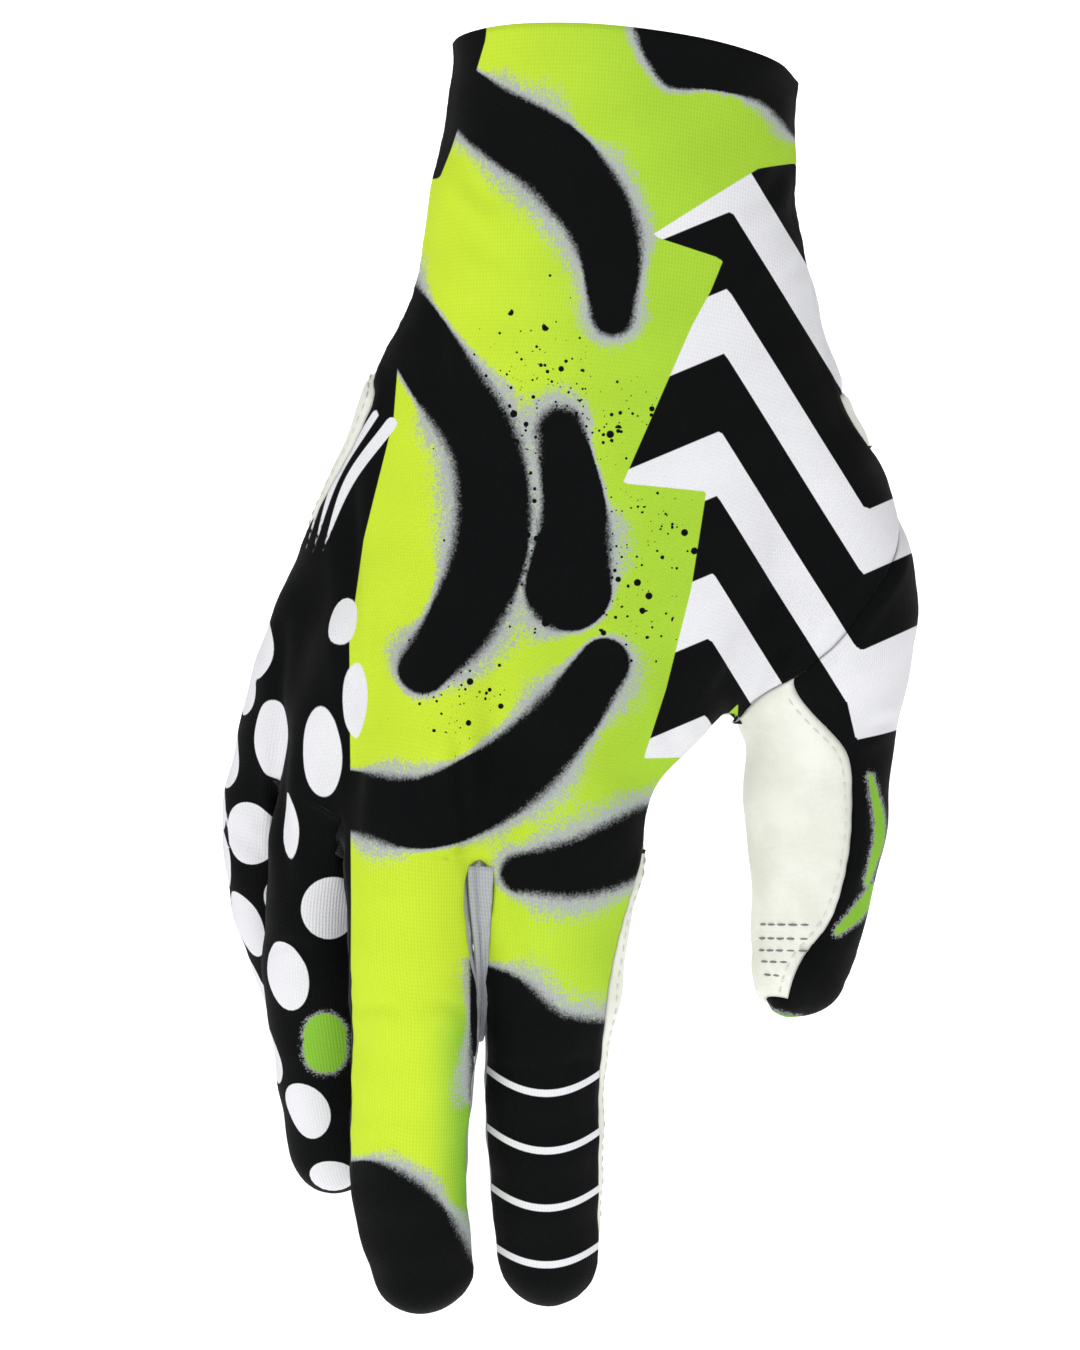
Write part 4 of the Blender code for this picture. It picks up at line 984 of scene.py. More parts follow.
@dataclass
class Print:
    """The printed pattern as distances and phases, each worked out for points on the cloth."""

    strokes: list[Stroke]
    soft_outlines: list[list[Place]]
    ink_outlines: list[list[Place]]
    slashes: list[Stroke]
    white_outlines: list[list[Place]]
    accents: list[Stroke]
    dots: list[Dot]
    zigzag_outline: list[Place]
    speckles: list[tuple[float, float, float]]

    zigzag_pitch: float = 141.0
    zigzag_start: float = 215.0
    stripe_pitch: float = 58.5
    stripe_start: float = 1071.0
    stripe_sag: float = 22.0
    stripe_middle: float = 546.0
    stripe_half_span: float = 58.0
    stripe_sides: tuple[float, float] = (474.0, 660.0)

    def zigzag_phase(self, right: Array, down: Array) -> Array:
        """The zigzag's phase: whole at the top of each black band. Its bands rise to a peak and fall steeply."""
        from_peak = right - (730 - 0.05 * (down - self.zigzag_start))
        fall = 1.46 * np.clip(from_peak, 0, 150) - 0.45 * np.maximum(from_peak - 150, 0)
        return (down - np.where(from_peak < 0, -0.43 * from_peak, fall) - self.zigzag_start) / self.zigzag_pitch

    def stripe_phase(self, right: Array, down: Array) -> Array:
        """The index finger's stripes: whole on each thin white line, which sags in its middle."""
        sag = self.stripe_sag * (1 - ((right - self.stripe_middle) / self.stripe_half_span) ** 2)
        return (down - np.maximum(sag, -self.stripe_sag) - self.stripe_start) / self.stripe_pitch

    @cached_property
    def dot_centres(self) -> Array:
        """The spots' centres on the cloth, where rays from inside their fingers come out."""
        bases, ways = [], []
        for dot in self.dots:
            tube, height = FINGERS[dot.finger], (ORIGIN_DOWN - dot.down) * UNIT
            section = tube.at(tube.at_height(height))
            reach = section.half_width * 0.85
            x = np.clip((dot.right - ORIGIN_RIGHT) * UNIT, section.centre[0] - reach, section.centre[0] + reach)
            bases.append((x, section.centre[1], height))
            turn = math.radians(dot.turn)
            ways.append((-math.sin(turn), -math.cos(turn), 0.0))
        base = np.array(bases)
        return FORM.reach(Rays(base, base + 0.01 * np.array(ways)))[0]

    def dot_distance(self, p: Array) -> Array:
        """Distance into the nearest spot, in metres, measured straight through space from the spot's centre."""
        best = np.full(p.shape[:-1], -1.0)
        for dot, centre in zip(self.dots, self.dot_centres):
            step = (p - centre) * np.array([1, 1, dot.half_width / dot.half_height])
            best = np.maximum(best, dot.half_width * UNIT - np.linalg.norm(step, axis=-1))
        return best

    def attributes(self, p: Array) -> dict[str, Array]:
        """The print's mesh attributes for these points, with distances in millimetres, and the lime's painted shade."""
        right, down = view_places(p)
        mm = UNIT * 1000
        stripes = self.stripe_phase(right, down)
        left_side, right_side = self.stripe_sides
        across = np.minimum(right - left_side, right_side - right)
        pitch = self.stripe_pitch
        striped = np.minimum(across, (stripes + 0.02) * pitch)
        soft = [stroke.inside(right, down) for stroke in self.strokes]
        soft += [inside_outline(right, down, rounded(outline)) for outline in self.soft_outlines]
        ink = [inside_outline(right, down, outline) for outline in self.ink_outlines] + [striped]
        white = [stroke.inside(right, down) * mm for stroke in self.slashes]
        white += [inside_outline(right, down, outline) * mm for outline in self.white_outlines]
        white += [self.dot_distance(p) * 1000]
        accent = [stroke.inside(right, down) for stroke in self.accents]
        density = [np.exp(-((right - x) ** 2 + (down - y) ** 2) / r ** 2) for x, y, r in self.speckles]
        # Deeper green towards the thumb, and painted shade down the middle finger's right side.
        to_thumb = smooth((right - 430) / 240)
        middle_side_shade = np.exp(-((right - 468) / 26) ** 2) * smooth((down - 960) / 90)
        return {
            "soft_black": np.max(soft, axis=0) * mm,
            "hard_black": np.max(ink, axis=0) * mm,
            "hard_white": np.max(white, axis=0),
            "accent": np.max(accent, axis=0) * mm,
            "speckle": np.max(density, axis=0),
            "green_depth_and_shade": np.clip(0.60 * to_thumb + middle_side_shade, 0, 1),
            "zigzag": self.zigzag_phase(right, down),
            "zigzag_edge": inside_outline(right, down, self.zigzag_outline) * mm,
            "stripes": stripes,
            "stripes_edge": np.minimum(np.minimum(across, (stripes + 0.3) * pitch), (3.45 - stripes) * pitch) * mm,
        }


PRINT = Print(
    strokes=[
        Stroke([(430, 60), (486, 118), (556, 168), (606, 240), (612, 318)], [16, 32, 38, 34, 22]),
        Stroke([(392, 300), (438, 372), (486, 452), (492, 540), (458, 628), (424, 668)], [30, 34, 36, 38, 34, 26]),
        Stroke([(560, 432), (574, 520), (568, 588)], [24, 34, 44]),
        Stroke([(352, 800), (420, 812), (500, 780), (566, 716), (604, 664)], [30, 36, 38, 32, 26]),
        Stroke([(520, 872), (580, 866), (650, 838)], [20, 30, 34]),
    ],
    soft_outlines=[
        [(620, 0), (840, 0), (840, 150), (800, 142), (760, 108), (712, 96), (664, 92), (640, 60)],
        [(330, 1168), (372, 1160), (420, 1182), (474, 1262), (500, 1400), (330, 1400)],
        [(470, 960), (520, 976), (560, 1010), (640, 1030), (660, 1100), (470, 1100)],
    ],
    ink_outlines=[
        [(404, 290), (394, 420), (364, 540), (350, 640), (352, 900), (349, 1240), (100, 1240), (100, 290)],
        [(400, 20), (488, 20), (486, 44), (470, 96), (452, 150), (440, 180), (400, 180)],
        [(738, 690), (960, 690), (960, 1060), (738, 1060)],
    ],
    slashes=[
        Stroke([(392, 424), (350, 480), (322, 552)], [6, 5, 0]),
        Stroke([(376, 414), (338, 474), (310, 560)], [3.5, 3, 0]),
        Stroke([(362, 402), (330, 470), (304, 552)], [3.5, 2.5, 0]),
    ],
    white_outlines=[[(846, 698), (875, 690), (930, 676), (930, 722), (884, 734), (856, 740)]],
    accents=[
        Stroke([(871, 776), (881, 832), (868, 884)], [3, 6, 3]),
        Stroke([(838, 932), (856, 916), (876, 890)], [4, 7, 6]),
        Stroke([(752, 1004), (776, 1020), (800, 1020)], [5, 7, 2]),
        Stroke([(324, 1036), (324, 1054)], [22, 22]),
    ],
    dots=[
        Dot(246, 835, 32, 32, 0), Dot(272, 742, 26, 42, 0), Dot(322, 752, 23, 46, 1), Dot(288, 826, 14, 34, 1),
        Dot(333, 910, 33, 33, 1), Dot(284, 978, 27, 37, 1), Dot(303, 1115, 27, 32, 1), Dot(234, 930, 26, 40, 0),
        Dot(356, 700, 15, 38, 1), Dot(252, 650, 26, 30, 0, 40), Dot(236, 760, 26, 30, 0, 70),
        Dot(226, 860, 26, 30, 0, 75), Dot(250, 985, 26, 30, 0, 60), Dot(270, 690, 24, 26, 0, 80),
        Dot(254, 1010, 24, 26, 0, 10), Dot(330, 1185, 24, 24, 1), Dot(262, 1060, 24, 28, 1, 60),
        Dot(262, 900, 20, 24, 0, -20), Dot(330, 620, 16, 30, 1), Dot(232, 810, 22, 24, 0, 110),
    ],
    zigzag_outline=[
        (757, 172), (650, 240), (722, 263), (709, 295), (690, 330), (622, 485), (705, 493), (690, 590), (665, 690),
        (643, 758), (690, 757), (720, 722), (738, 704), (950, 700), (950, 150), (790, 165),
    ],
    speckles=[(540, 400, 62), (600, 420, 50), (520, 560, 50), (620, 600, 44), (460, 700, 36), (650, 530, 40)],
)


# ---- Panels ----


@dataclass(frozen=True)
class Density:
    """Numbers of quads in the panels' grids."""

    above_thumb: int = 84
    beside_thumb: int = 36
    knuckles: int = 22
    fingers: int = 84
    tips: int = 12
    half_strip: int = 13
    thumb_side: int = 40
    fourchette: int = 11
    thumb: int = 90
    thumb_tip: int = 14
    patch_on_tip: int = 9

    @property
    def palm_top(self) -> int:
        """The hand row where the leather palm begins."""
        return round(self.above_thumb * PALM_TOP / THUMB_BLEND[1])

    def hand_shares(self) -> Array:
        """The hand's rows from the mouth to the knuckles, with the top of the thumb's seam on one of them."""
        above = np.linspace(0, THUMB_BLEND[1], self.above_thumb + 1)
        return np.concatenate([above, np.linspace(THUMB_BLEND[1], 1, self.beside_thumb + 1)[1:]])

    def finger_shares(self) -> Array:
        """A finger's rows, closer together at the crotch."""
        return np.linspace(0, 1, self.fingers + 1) ** 1.3

    def across(self, k: int) -> Array:
        """Places across one finger's strip, -1 to 1."""
        right = self.thumb_side if k == INDEX else self.half_strip
        return np.concatenate([np.linspace(-1, 0, self.half_strip + 1)[:-1], np.linspace(0, 1, right + 1)])


DENSITY = Density()


def spacing(p: Array, axis: int) -> Array:
    """Distances along a grid's rows or columns, from 0 at its first ones."""
    steps = np.linalg.norm(np.diff(p, axis=axis), axis=-1)
    zero = np.zeros_like(np.take(steps, [0], axis=axis))
    return np.concatenate([zero, np.cumsum(steps, axis=axis)], axis=axis)


@dataclass
class Grid:
    """Rows and columns of points on the hand's form, with its normals and the distances to the mouth."""

    points: Array
    normal: Array
    mouth: Array
    weave: Array

    FIELDS = ("points", "normal", "mouth", "weave")

    @classmethod
    def from_rays(cls, rays: Rays, mouth: Array | None = None, eased: bool = False) -> Grid:
        """Finds the surface along the rays, evens it out if asked, and lays a weave of arc lengths over it."""
        points, normal = FORM.reach(rays)
        if eased:
            points, normal = FORM.eased(points, rays.blend)
        weave = np.stack([spacing(points, 1), spacing(points, 0)], -1)
        return cls(points, normal, np.ones(points.shape[:2]) if mouth is None else mouth, weave)

    def part(self, rows: slice, columns: slice) -> Grid:
        """A block of the grid."""
        return Grid(*(getattr(self, name)[rows, columns] for name in self.FIELDS))


def joined(grids: Sequence[Grid], axis: int) -> Grid:
    """Grids joined into one, less the first row or column of each after the first where it repeats."""
    cut = [slice(1 if i else 0, None) for i in range(len(grids))]
    where = [(c, slice(None)) if axis == 0 else (slice(None), c) for c in cut]
    return Grid(*(np.concatenate([getattr(g, n)[w] for g, w in zip(grids, where)], axis) for n in Grid.FIELDS))


class Surface:
    """A panel gathered from grids that share points, pressed by the relief and made into a mesh."""

    def __init__(self, name: str) -> None:
        """Starts an empty surface."""
        self.name = name
        self.grids: list[Grid] = []
        self.quads: list[Array] = []
        self.triangles: list[Array] = []
        self.count = 0

    def add(self, grid: Grid, flip: bool, shared_row: Array | None = None, round_seam: bool = False) -> Array:
        """Adds a grid's quads.

        Args:
            grid: The grid.
            flip: Whether its faces turn the other way.
            shared_row: Numbers of points already there that stand for the grid's first row.
            round_seam: Whether the last column is the first one again.

        Returns:
            The number of each of its points.
        """
        if shared_row is not None:
            grid = grid.part(slice(1, None), slice(None))
        if round_seam:
            grid = grid.part(slice(None), slice(0, -1))
        rows, columns = grid.points.shape[:2]
        index = self.count + np.arange(rows * columns).reshape(rows, columns)
        self.count += rows * columns
        self.grids.append(grid)
        if shared_row is not None:
            index = np.concatenate([shared_row[None], index])
        if round_seam:
            index = np.concatenate([index, index[:, :1]], axis=1)
        self.face(index, flip)
        return index

    def face(self, index: Array, flip: bool) -> None:
        """Adds quads between neighbouring points of a numbered grid."""
        quads = np.stack([index[:-1, :-1], index[1:, :-1], index[1:, 1:], index[:-1, 1:]], -1).reshape(-1, 4)
        self.quads.append(quads[:, ::-1] if flip else quads)

    def gathered(self, name: str) -> Array:
        """One of the grids' arrays, for all points in order."""
        parts = [getattr(grid, name) for grid in self.grids]
        return np.concatenate([part.reshape(-1, *part.shape[2:]) for part in parts])

    def rim(self, faces: list[Array]) -> Array:
        """Directed edges that only one face has."""
        edges = np.concatenate([np.stack([f, np.roll(f, -1, axis=1)], -1).reshape(-1, 2) for f in faces if len(f)])
        key = np.sort(edges, axis=1) @ np.array([self.count, 1])
        _, first, number = np.unique(key, return_index=True, return_counts=True)
        return edges[first[number == 1]]

    def pressed(self, faces: list[Array], rim: Array, relief: Relief, gap: float) -> tuple[Array, Array]:
        """Moves the points by the relief and draws the rim in.

        Args:
            faces: Arrays of faces, one for each number of corners.
            rim: The rim's edges.
            relief: The relief.
            gap: How far apart two panels lie along a seam.

        Returns:
            The points, and each point's distance to the nearest seam.
        """
        on_form, normal, mouth = (self.gathered(name) for name in ("points", "normal", "mouth"))
        at_rim = np.unique(rim)
        seams = on_form[at_rim[mouth[at_rim] > 1e-6]]
        chunks = np.array_split(on_form, max(1, len(on_form) // 4000))
        seam = np.concatenate([np.linalg.norm(c[:, None] - seams[None], axis=2).min(1) for c in chunks])
        points = on_form + normal * relief.at(on_form, -normal[:, 1], seam, mouth)[:, None]
        pull = np.zeros_like(points)
        for group in faces:
            middle = points[group].mean(1)
            for corner in group.T:
                np.add.at(pull, corner, middle - points[corner])
        run = np.zeros_like(points)
        for end in (0, 1):
            np.add.at(run, rim[:, end], points[rim[:, 1]] - points[rim[:, 0]])
        step, run, out = pull[at_rim], unit(run[at_rim]), normal[at_rim]
        for axis in (out, unit(run - along_axis(run, out)[:, None] * out)):
            step = step - along_axis(step, axis)[:, None] * axis
        points[at_rim] += unit(step) * gap / 2
        return points, seam

    def build(self, relief: Relief, wall: float, printed: bool, gap: float = 0.00007) -> bpy.types.Object:
        """Makes the panel's mesh with its weave and seam attributes, and gives it a wall.

        Args:
            relief: The relief that presses it.
            wall: Its thickness.
            printed: Whether it also carries the print's attributes.
            gap: How far apart two panels lie along a seam.

        Returns:
            The object.
        """
        quads = np.concatenate(self.quads)
        triangles = np.concatenate(self.triangles) if self.triangles else np.zeros((0, 3), int)
        faces = [quads, triangles] if len(triangles) else [quads]
        points, seam = self.pressed(faces, self.rim(faces), relief, gap)
        mesh = bpy.data.meshes.new(self.name)
        mesh.from_pydata(points.tolist(), [], quads.tolist() + triangles.tolist())
        mesh.shade_smooth()
        corners = np.empty(len(mesh.loops), np.int32)
        mesh.loops.foreach_get("vertex_index", corners)
        weave = mesh.uv_layers.new(name="weave")
        weave.uv.foreach_set("vector", self.gathered("weave")[corners].astype(np.float32).ravel())
        print_values = PRINT.attributes(points) if printed else {}
        for name, values in {"seam": seam * 1000, **print_values}.items():
            layer = mesh.attributes.new(name, "FLOAT", "POINT")
            layer.data.foreach_set("value", values.astype(np.float32))
        mesh.validate()
        obj = bpy.data.objects.new(self.name, mesh)
        bpy.context.scene.collection.objects.link(obj)
        thickness = obj.modifiers.new("wall", "SOLIDIFY")
        thickness.thickness, thickness.offset, thickness.material_offset = wall, -1, 1
        log.info("%s: %d points, %d faces", self.name, len(mesh.vertices), len(mesh.polygons))
        return obj


# ---- Shaders ----


def linear(red: float, green: float, blue: float) -> Colour:
    """A linear colour from one given in 8-bit screen values."""
    parts = (red / 255, green / 255, blue / 255)
    return tuple(c / 12.92 if c <= 0.04045 else ((c + 0.055) / 1.055) ** 2.4 for c in parts)


@dataclass(frozen=True)
class Inks:
    """The print's colours."""

    lime: Colour = linear(199, 226, 55)
    # Deeper green of the print; also mixed in towards the thumb and as painted shade down the middle finger's side.
    lime_deep: Colour = linear(138, 193, 60)
    mist: Colour = linear(172, 177, 177)
    black: Colour = linear(8, 9, 10)
    white: Colour = linear(230, 230, 234)
    reverse: Colour = linear(52, 53, 55)


@dataclass(frozen=True)
class Hides:
    """Colours of the leather, the knit and the thread, and painted shade for the knit."""

    leather: Colour = linear(232, 233, 224)
    leather_shade: Colour = linear(221, 222, 211)
    knit: Colour = linear(188, 190, 195)
    # Painted shade for the grooves between the knit's ribs.
    knit_shade: Colour = linear(160, 163, 169)
    # Painted shade: near-black knit for the side walls in the closed slots, where the touching fingers shade them, and
    # its grooves.
    slot_shade_colour: Colour = linear(34, 35, 37)
    slot_shade_groove_colour: Colour = linear(16, 17, 18)
    thread: Colour = linear(226, 227, 220)
    grey_thread: Colour = linear(128, 130, 132)


class Graph:
    """Adds nodes to a shader tree and links them."""

    def __init__(self, tree: bpy.types.NodeTree) -> None:
        """Wraps the tree."""
        self.tree = tree

    def node(self, kind: str, **settings: object) -> bpy.types.Node:
        """A new node of this kind with these settings."""
        made = self.tree.nodes.new(kind)
        for name, value in settings.items():
            setattr(made, name, value)
        return made

    def feed(self, socket: bpy.types.NodeSocket, value: object) -> None:
        """Links a socket to another, or sets its value."""
        if isinstance(value, bpy.types.NodeSocket):
            self.tree.links.new(value, socket)
        elif isinstance(value, tuple) and len(value) == 3 and len(socket.default_value) == 4:
            socket.default_value = (*value, 1)
        else:
            socket.default_value = value

    def maths(self, operation: str, *values: object) -> bpy.types.NodeSocket:
        """The result of a maths node."""
        node = self.node("ShaderNodeMath", operation=operation)
        for socket, value in zip(node.inputs, values):
            self.feed(socket, value)
        return node.outputs[0]

    def times(self, a: object, b: object) -> bpy.types.NodeSocket:
        """a times b."""
        return self.maths("MULTIPLY", a, b)

    def plus(self, a: object, b: object) -> bpy.types.NodeSocket:
        """a and b together."""
        return self.maths("ADD", a, b)

    def less(self, a: object, b: object) -> bpy.types.NodeSocket:
        """a less b."""
        return self.maths("SUBTRACT", a, b)

    def step(self, value: object, low: object, high: object) -> bpy.types.NodeSocket:
        """0 below the low value, 1 above the high one, and smooth between them."""
        node = self.node("ShaderNodeMapRange", interpolation_type="SMOOTHSTEP")
        for socket, given in zip(node.inputs[:3], (value, low, high)):
            self.feed(socket, given)
        return node.outputs[0]

    def mixed(self, factor: object, a: object, b: object) -> bpy.types.NodeSocket:
        """Colour a where the factor is 0 and b where it is 1."""
        node = self.node("ShaderNodeMix", data_type="RGBA")
        for number, value in ((0, factor), (6, a), (7, b)):
            self.feed(node.inputs[number], value)
        return node.outputs[2]

    def attribute(self, name: str) -> bpy.types.NodeSocket:
        """A mesh attribute's value."""
        return self.node("ShaderNodeAttribute", attribute_name=name).outputs["Fac"]

    def noise(self, vector: object, scale: float, detail: float = 2.0, roughness: float = 0.5) -> bpy.types.NodeSocket:
        """Noise from 0 to 1."""
        node = self.node("ShaderNodeTexNoise")
        for name, value in (("Vector", vector), ("Scale", scale), ("Detail", detail), ("Roughness", roughness)):
            self.feed(node.inputs[name], value)
        return node.outputs[0]

    def object_place(self) -> bpy.types.NodeSocket:
        """Places in the object's own coordinates."""
        return self.node("ShaderNodeTexCoord").outputs["Object"]

    def group(self, tree: bpy.types.NodeTree, **values: object) -> bpy.types.Node:
        """A node that uses a group."""
        node = self.node("ShaderNodeGroup", node_tree=tree)
        for name, value in values.items():
            self.feed(node.inputs[name], value)
        return node


def new_group(name: str, inputs: dict[str, float], outputs: dict[str, str]) -> tuple[Graph, dict, dict]:
    """Starts a shader group.

    Args:
        name: The group's name.
        inputs: Names and values of its number inputs.
        outputs: Names and socket types of its outputs.

    Returns:
        Its graph, the sockets that bring its inputs, and the sockets that take its outputs.
    """
    tree = bpy.data.node_groups.new(name, "ShaderNodeTree")
    for label, value in inputs.items():
        tree.interface.new_socket(label, in_out="INPUT", socket_type="NodeSocketFloat").default_value = value
    for label, kind in outputs.items():
        tree.interface.new_socket(label, in_out="OUTPUT", socket_type=kind)
    graph = Graph(tree)
    entry, leave = graph.node("NodeGroupInput"), graph.node("NodeGroupOutput")
    return graph, {n: entry.outputs[n] for n in inputs}, {n: leave.inputs[n] for n in outputs}


def weave_group() -> bpy.types.NodeTree:
    """Height of a fine knit: ribs along one way of the weave map, broken across by short loops."""
    graph, given, out = new_group("fine_knit", {"Ribs": 1600.0, "Loops": 1250.0}, {"Height": "NodeSocketFloat"})
    uv = graph.node("ShaderNodeUVMap", uv_map="weave").outputs[0]
    parts = graph.node("ShaderNodeSeparateXYZ")
    graph.feed(parts.inputs[0], uv)
    turn = 2 * math.pi
    across = graph.times(graph.times(parts.outputs[0], given["Ribs"]), turn)
    along = graph.times(graph.times(parts.outputs[1], given["Loops"]), turn)
    slant = graph.maths("SINE", across)
    loops = graph.maths("SINE", graph.plus(along, graph.times(slant, 1.2)))
    rib = graph.maths("COSINE", across)
    height = graph.plus(graph.times(rib, 0.30), graph.times(loops, 0.20))
    graph.feed(out["Height"], graph.plus(height, 0.5))
    return graph.tree


def grain_group() -> bpy.types.NodeTree:
    """Leather grain: fine pebbles with pores, and slow mottling for its colour."""
    outputs = {"Height": "NodeSocketFloat", "Mottle": "NodeSocketFloat"}
    graph, given, out = new_group("leather_grain", {"Pebbles": 1500.0, "Mottling": 90.0}, outputs)
    place_at = graph.object_place()
    cells = graph.node("ShaderNodeTexVoronoi", feature="SMOOTH_F1")
    for name, value in (("Vector", place_at), ("Scale", given["Pebbles"]), ("Smoothness", 0.6)):
        graph.feed(cells.inputs[name], value)
    fine = graph.noise(place_at, 5200.0, 3.0)
    pebbles = graph.less(1.0, cells.outputs["Distance"])
    graph.feed(out["Height"], graph.plus(graph.times(pebbles, 0.7), graph.times(fine, 0.3)))
    mottle = graph.noise(place_at, given["Mottling"], 4.0, 0.6)
    graph.feed(out["Mottle"], graph.step(mottle, 0.35, 0.68))
    return graph.tree


def cloth_print_group(inks: Inks) -> bpy.types.NodeTree:
    """The print's colour, laid in turn: lime with painted shade, misted black, specks, hard black, zigzags, stripes,
    white and accents.
    """
    graph, _, out = new_group("cloth_print", {}, {"Color": "NodeSocketColor"})
    spot = graph.object_place()
    fine = graph.less(graph.noise(spot, 2600.0, 2.0), 0.5)
    coarse = graph.less(graph.noise(spot, 900.0, 2.0), 0.5)
    broad = graph.step(graph.noise(spot, 48.0, 1.0), 0.36, 0.66)
    grit = graph.plus(graph.times(fine, 2.0), graph.times(coarse, 0.9))

    # Lime deepening towards the thumb, and painted shade down the middle finger's right side.
    colour = graph.mixed(graph.attribute("green_depth_and_shade"), inks.lime, inks.lime_deep)

    soft = graph.attribute("soft_black")
    halo = graph.plus(graph.times(broad, 6.0), 1.1)
    share = graph.plus(graph.maths("DIVIDE", soft, halo), 1.0)
    dusted = graph.step(graph.plus(share, graph.times(grit, 0.85)), 0.30, 0.80)
    colour = graph.mixed(dusted, colour, inks.mist)
    blur = graph.plus(graph.times(broad, 1.0), 0.22)
    edge = graph.plus(soft, graph.times(graph.times(grit, blur), 0.9))
    colour = graph.mixed(graph.step(edge, graph.times(blur, -1.0), blur), colour, inks.black)

    for scale, most in ((460.0, 0.85), (1050.0, 0.9)):
        cells = graph.node("ShaderNodeTexVoronoi")
        graph.feed(cells.inputs["Vector"], spot)
        graph.feed(cells.inputs["Scale"], scale)
        chance = graph.node("ShaderNodeSeparateColor")
        graph.feed(chance.inputs[0], cells.outputs["Color"])
        radius = graph.plus(graph.times(graph.maths("POWER", chance.outputs[1], 3.0), 0.34), 0.09)
        speck = graph.step(graph.less(radius, cells.outputs["Distance"]), -0.03, 0.03)
        thick = graph.times(graph.attribute("speckle"), most)
        chosen = graph.maths("LESS_THAN", chance.outputs[0], thick)
        colour = graph.mixed(graph.times(speck, chosen), colour, inks.black)

    crisp = 0.10
    colour = graph.mixed(graph.step(graph.attribute("hard_black"), -crisp, crisp), colour, inks.black)

    band = graph.maths("FRACT", graph.attribute("zigzag"))
    half_black = 0.2725                 # half a black band, as a share of the pitch
    from_middle = graph.maths("ABSOLUTE", graph.less(band, half_black))
    far = graph.less(half_black, graph.maths("MINIMUM", from_middle, graph.less(1.0, from_middle)))
    zigzag = graph.mixed(graph.step(far, -0.005, 0.005), inks.white, inks.black)
    colour = graph.mixed(graph.step(graph.attribute("zigzag_edge"), -crisp, crisp), colour, zigzag)

    stripe = graph.attribute("stripes")
    off_line = graph.maths("ABSOLUTE", graph.less(stripe, graph.maths("ROUND", stripe)))
    half_line = 0.062
    thin = graph.step(graph.less(half_line, off_line), -0.009, 0.009)
    on_finger = graph.step(graph.attribute("stripes_edge"), -crisp, crisp)
    colour = graph.mixed(graph.times(thin, on_finger), colour, inks.white)

    colour = graph.mixed(graph.step(graph.attribute("hard_white"), -crisp, crisp), colour, inks.white)
    accent = graph.attribute("accent")
    fringe = graph.step(graph.plus(accent, graph.times(grit, 1.2)), -0.8, 0.2)
    colour = graph.mixed(graph.times(fringe, 0.75), colour, inks.mist)
    glow = graph.step(graph.plus(accent, graph.times(grit, 0.5)), -0.15, 0.35)
    colour = graph.mixed(glow, colour, inks.lime_deep)
    graph.feed(out["Color"], colour)
    return graph.tree


def seam_shade_group() -> bpy.types.NodeTree:
    """Painted shade: how much darker a piece is in the fold of its seam."""
    graph, given, out = new_group("seam_shade", {"Width": 0.7, "Depth": 0.3}, {"Shade": "NodeSocketFloat"})
    near = graph.less(1.0, graph.step(graph.attribute("seam"), 0.0, given["Width"]))
    graph.feed(out["Shade"], graph.times(near, given["Depth"]))
    return graph.tree


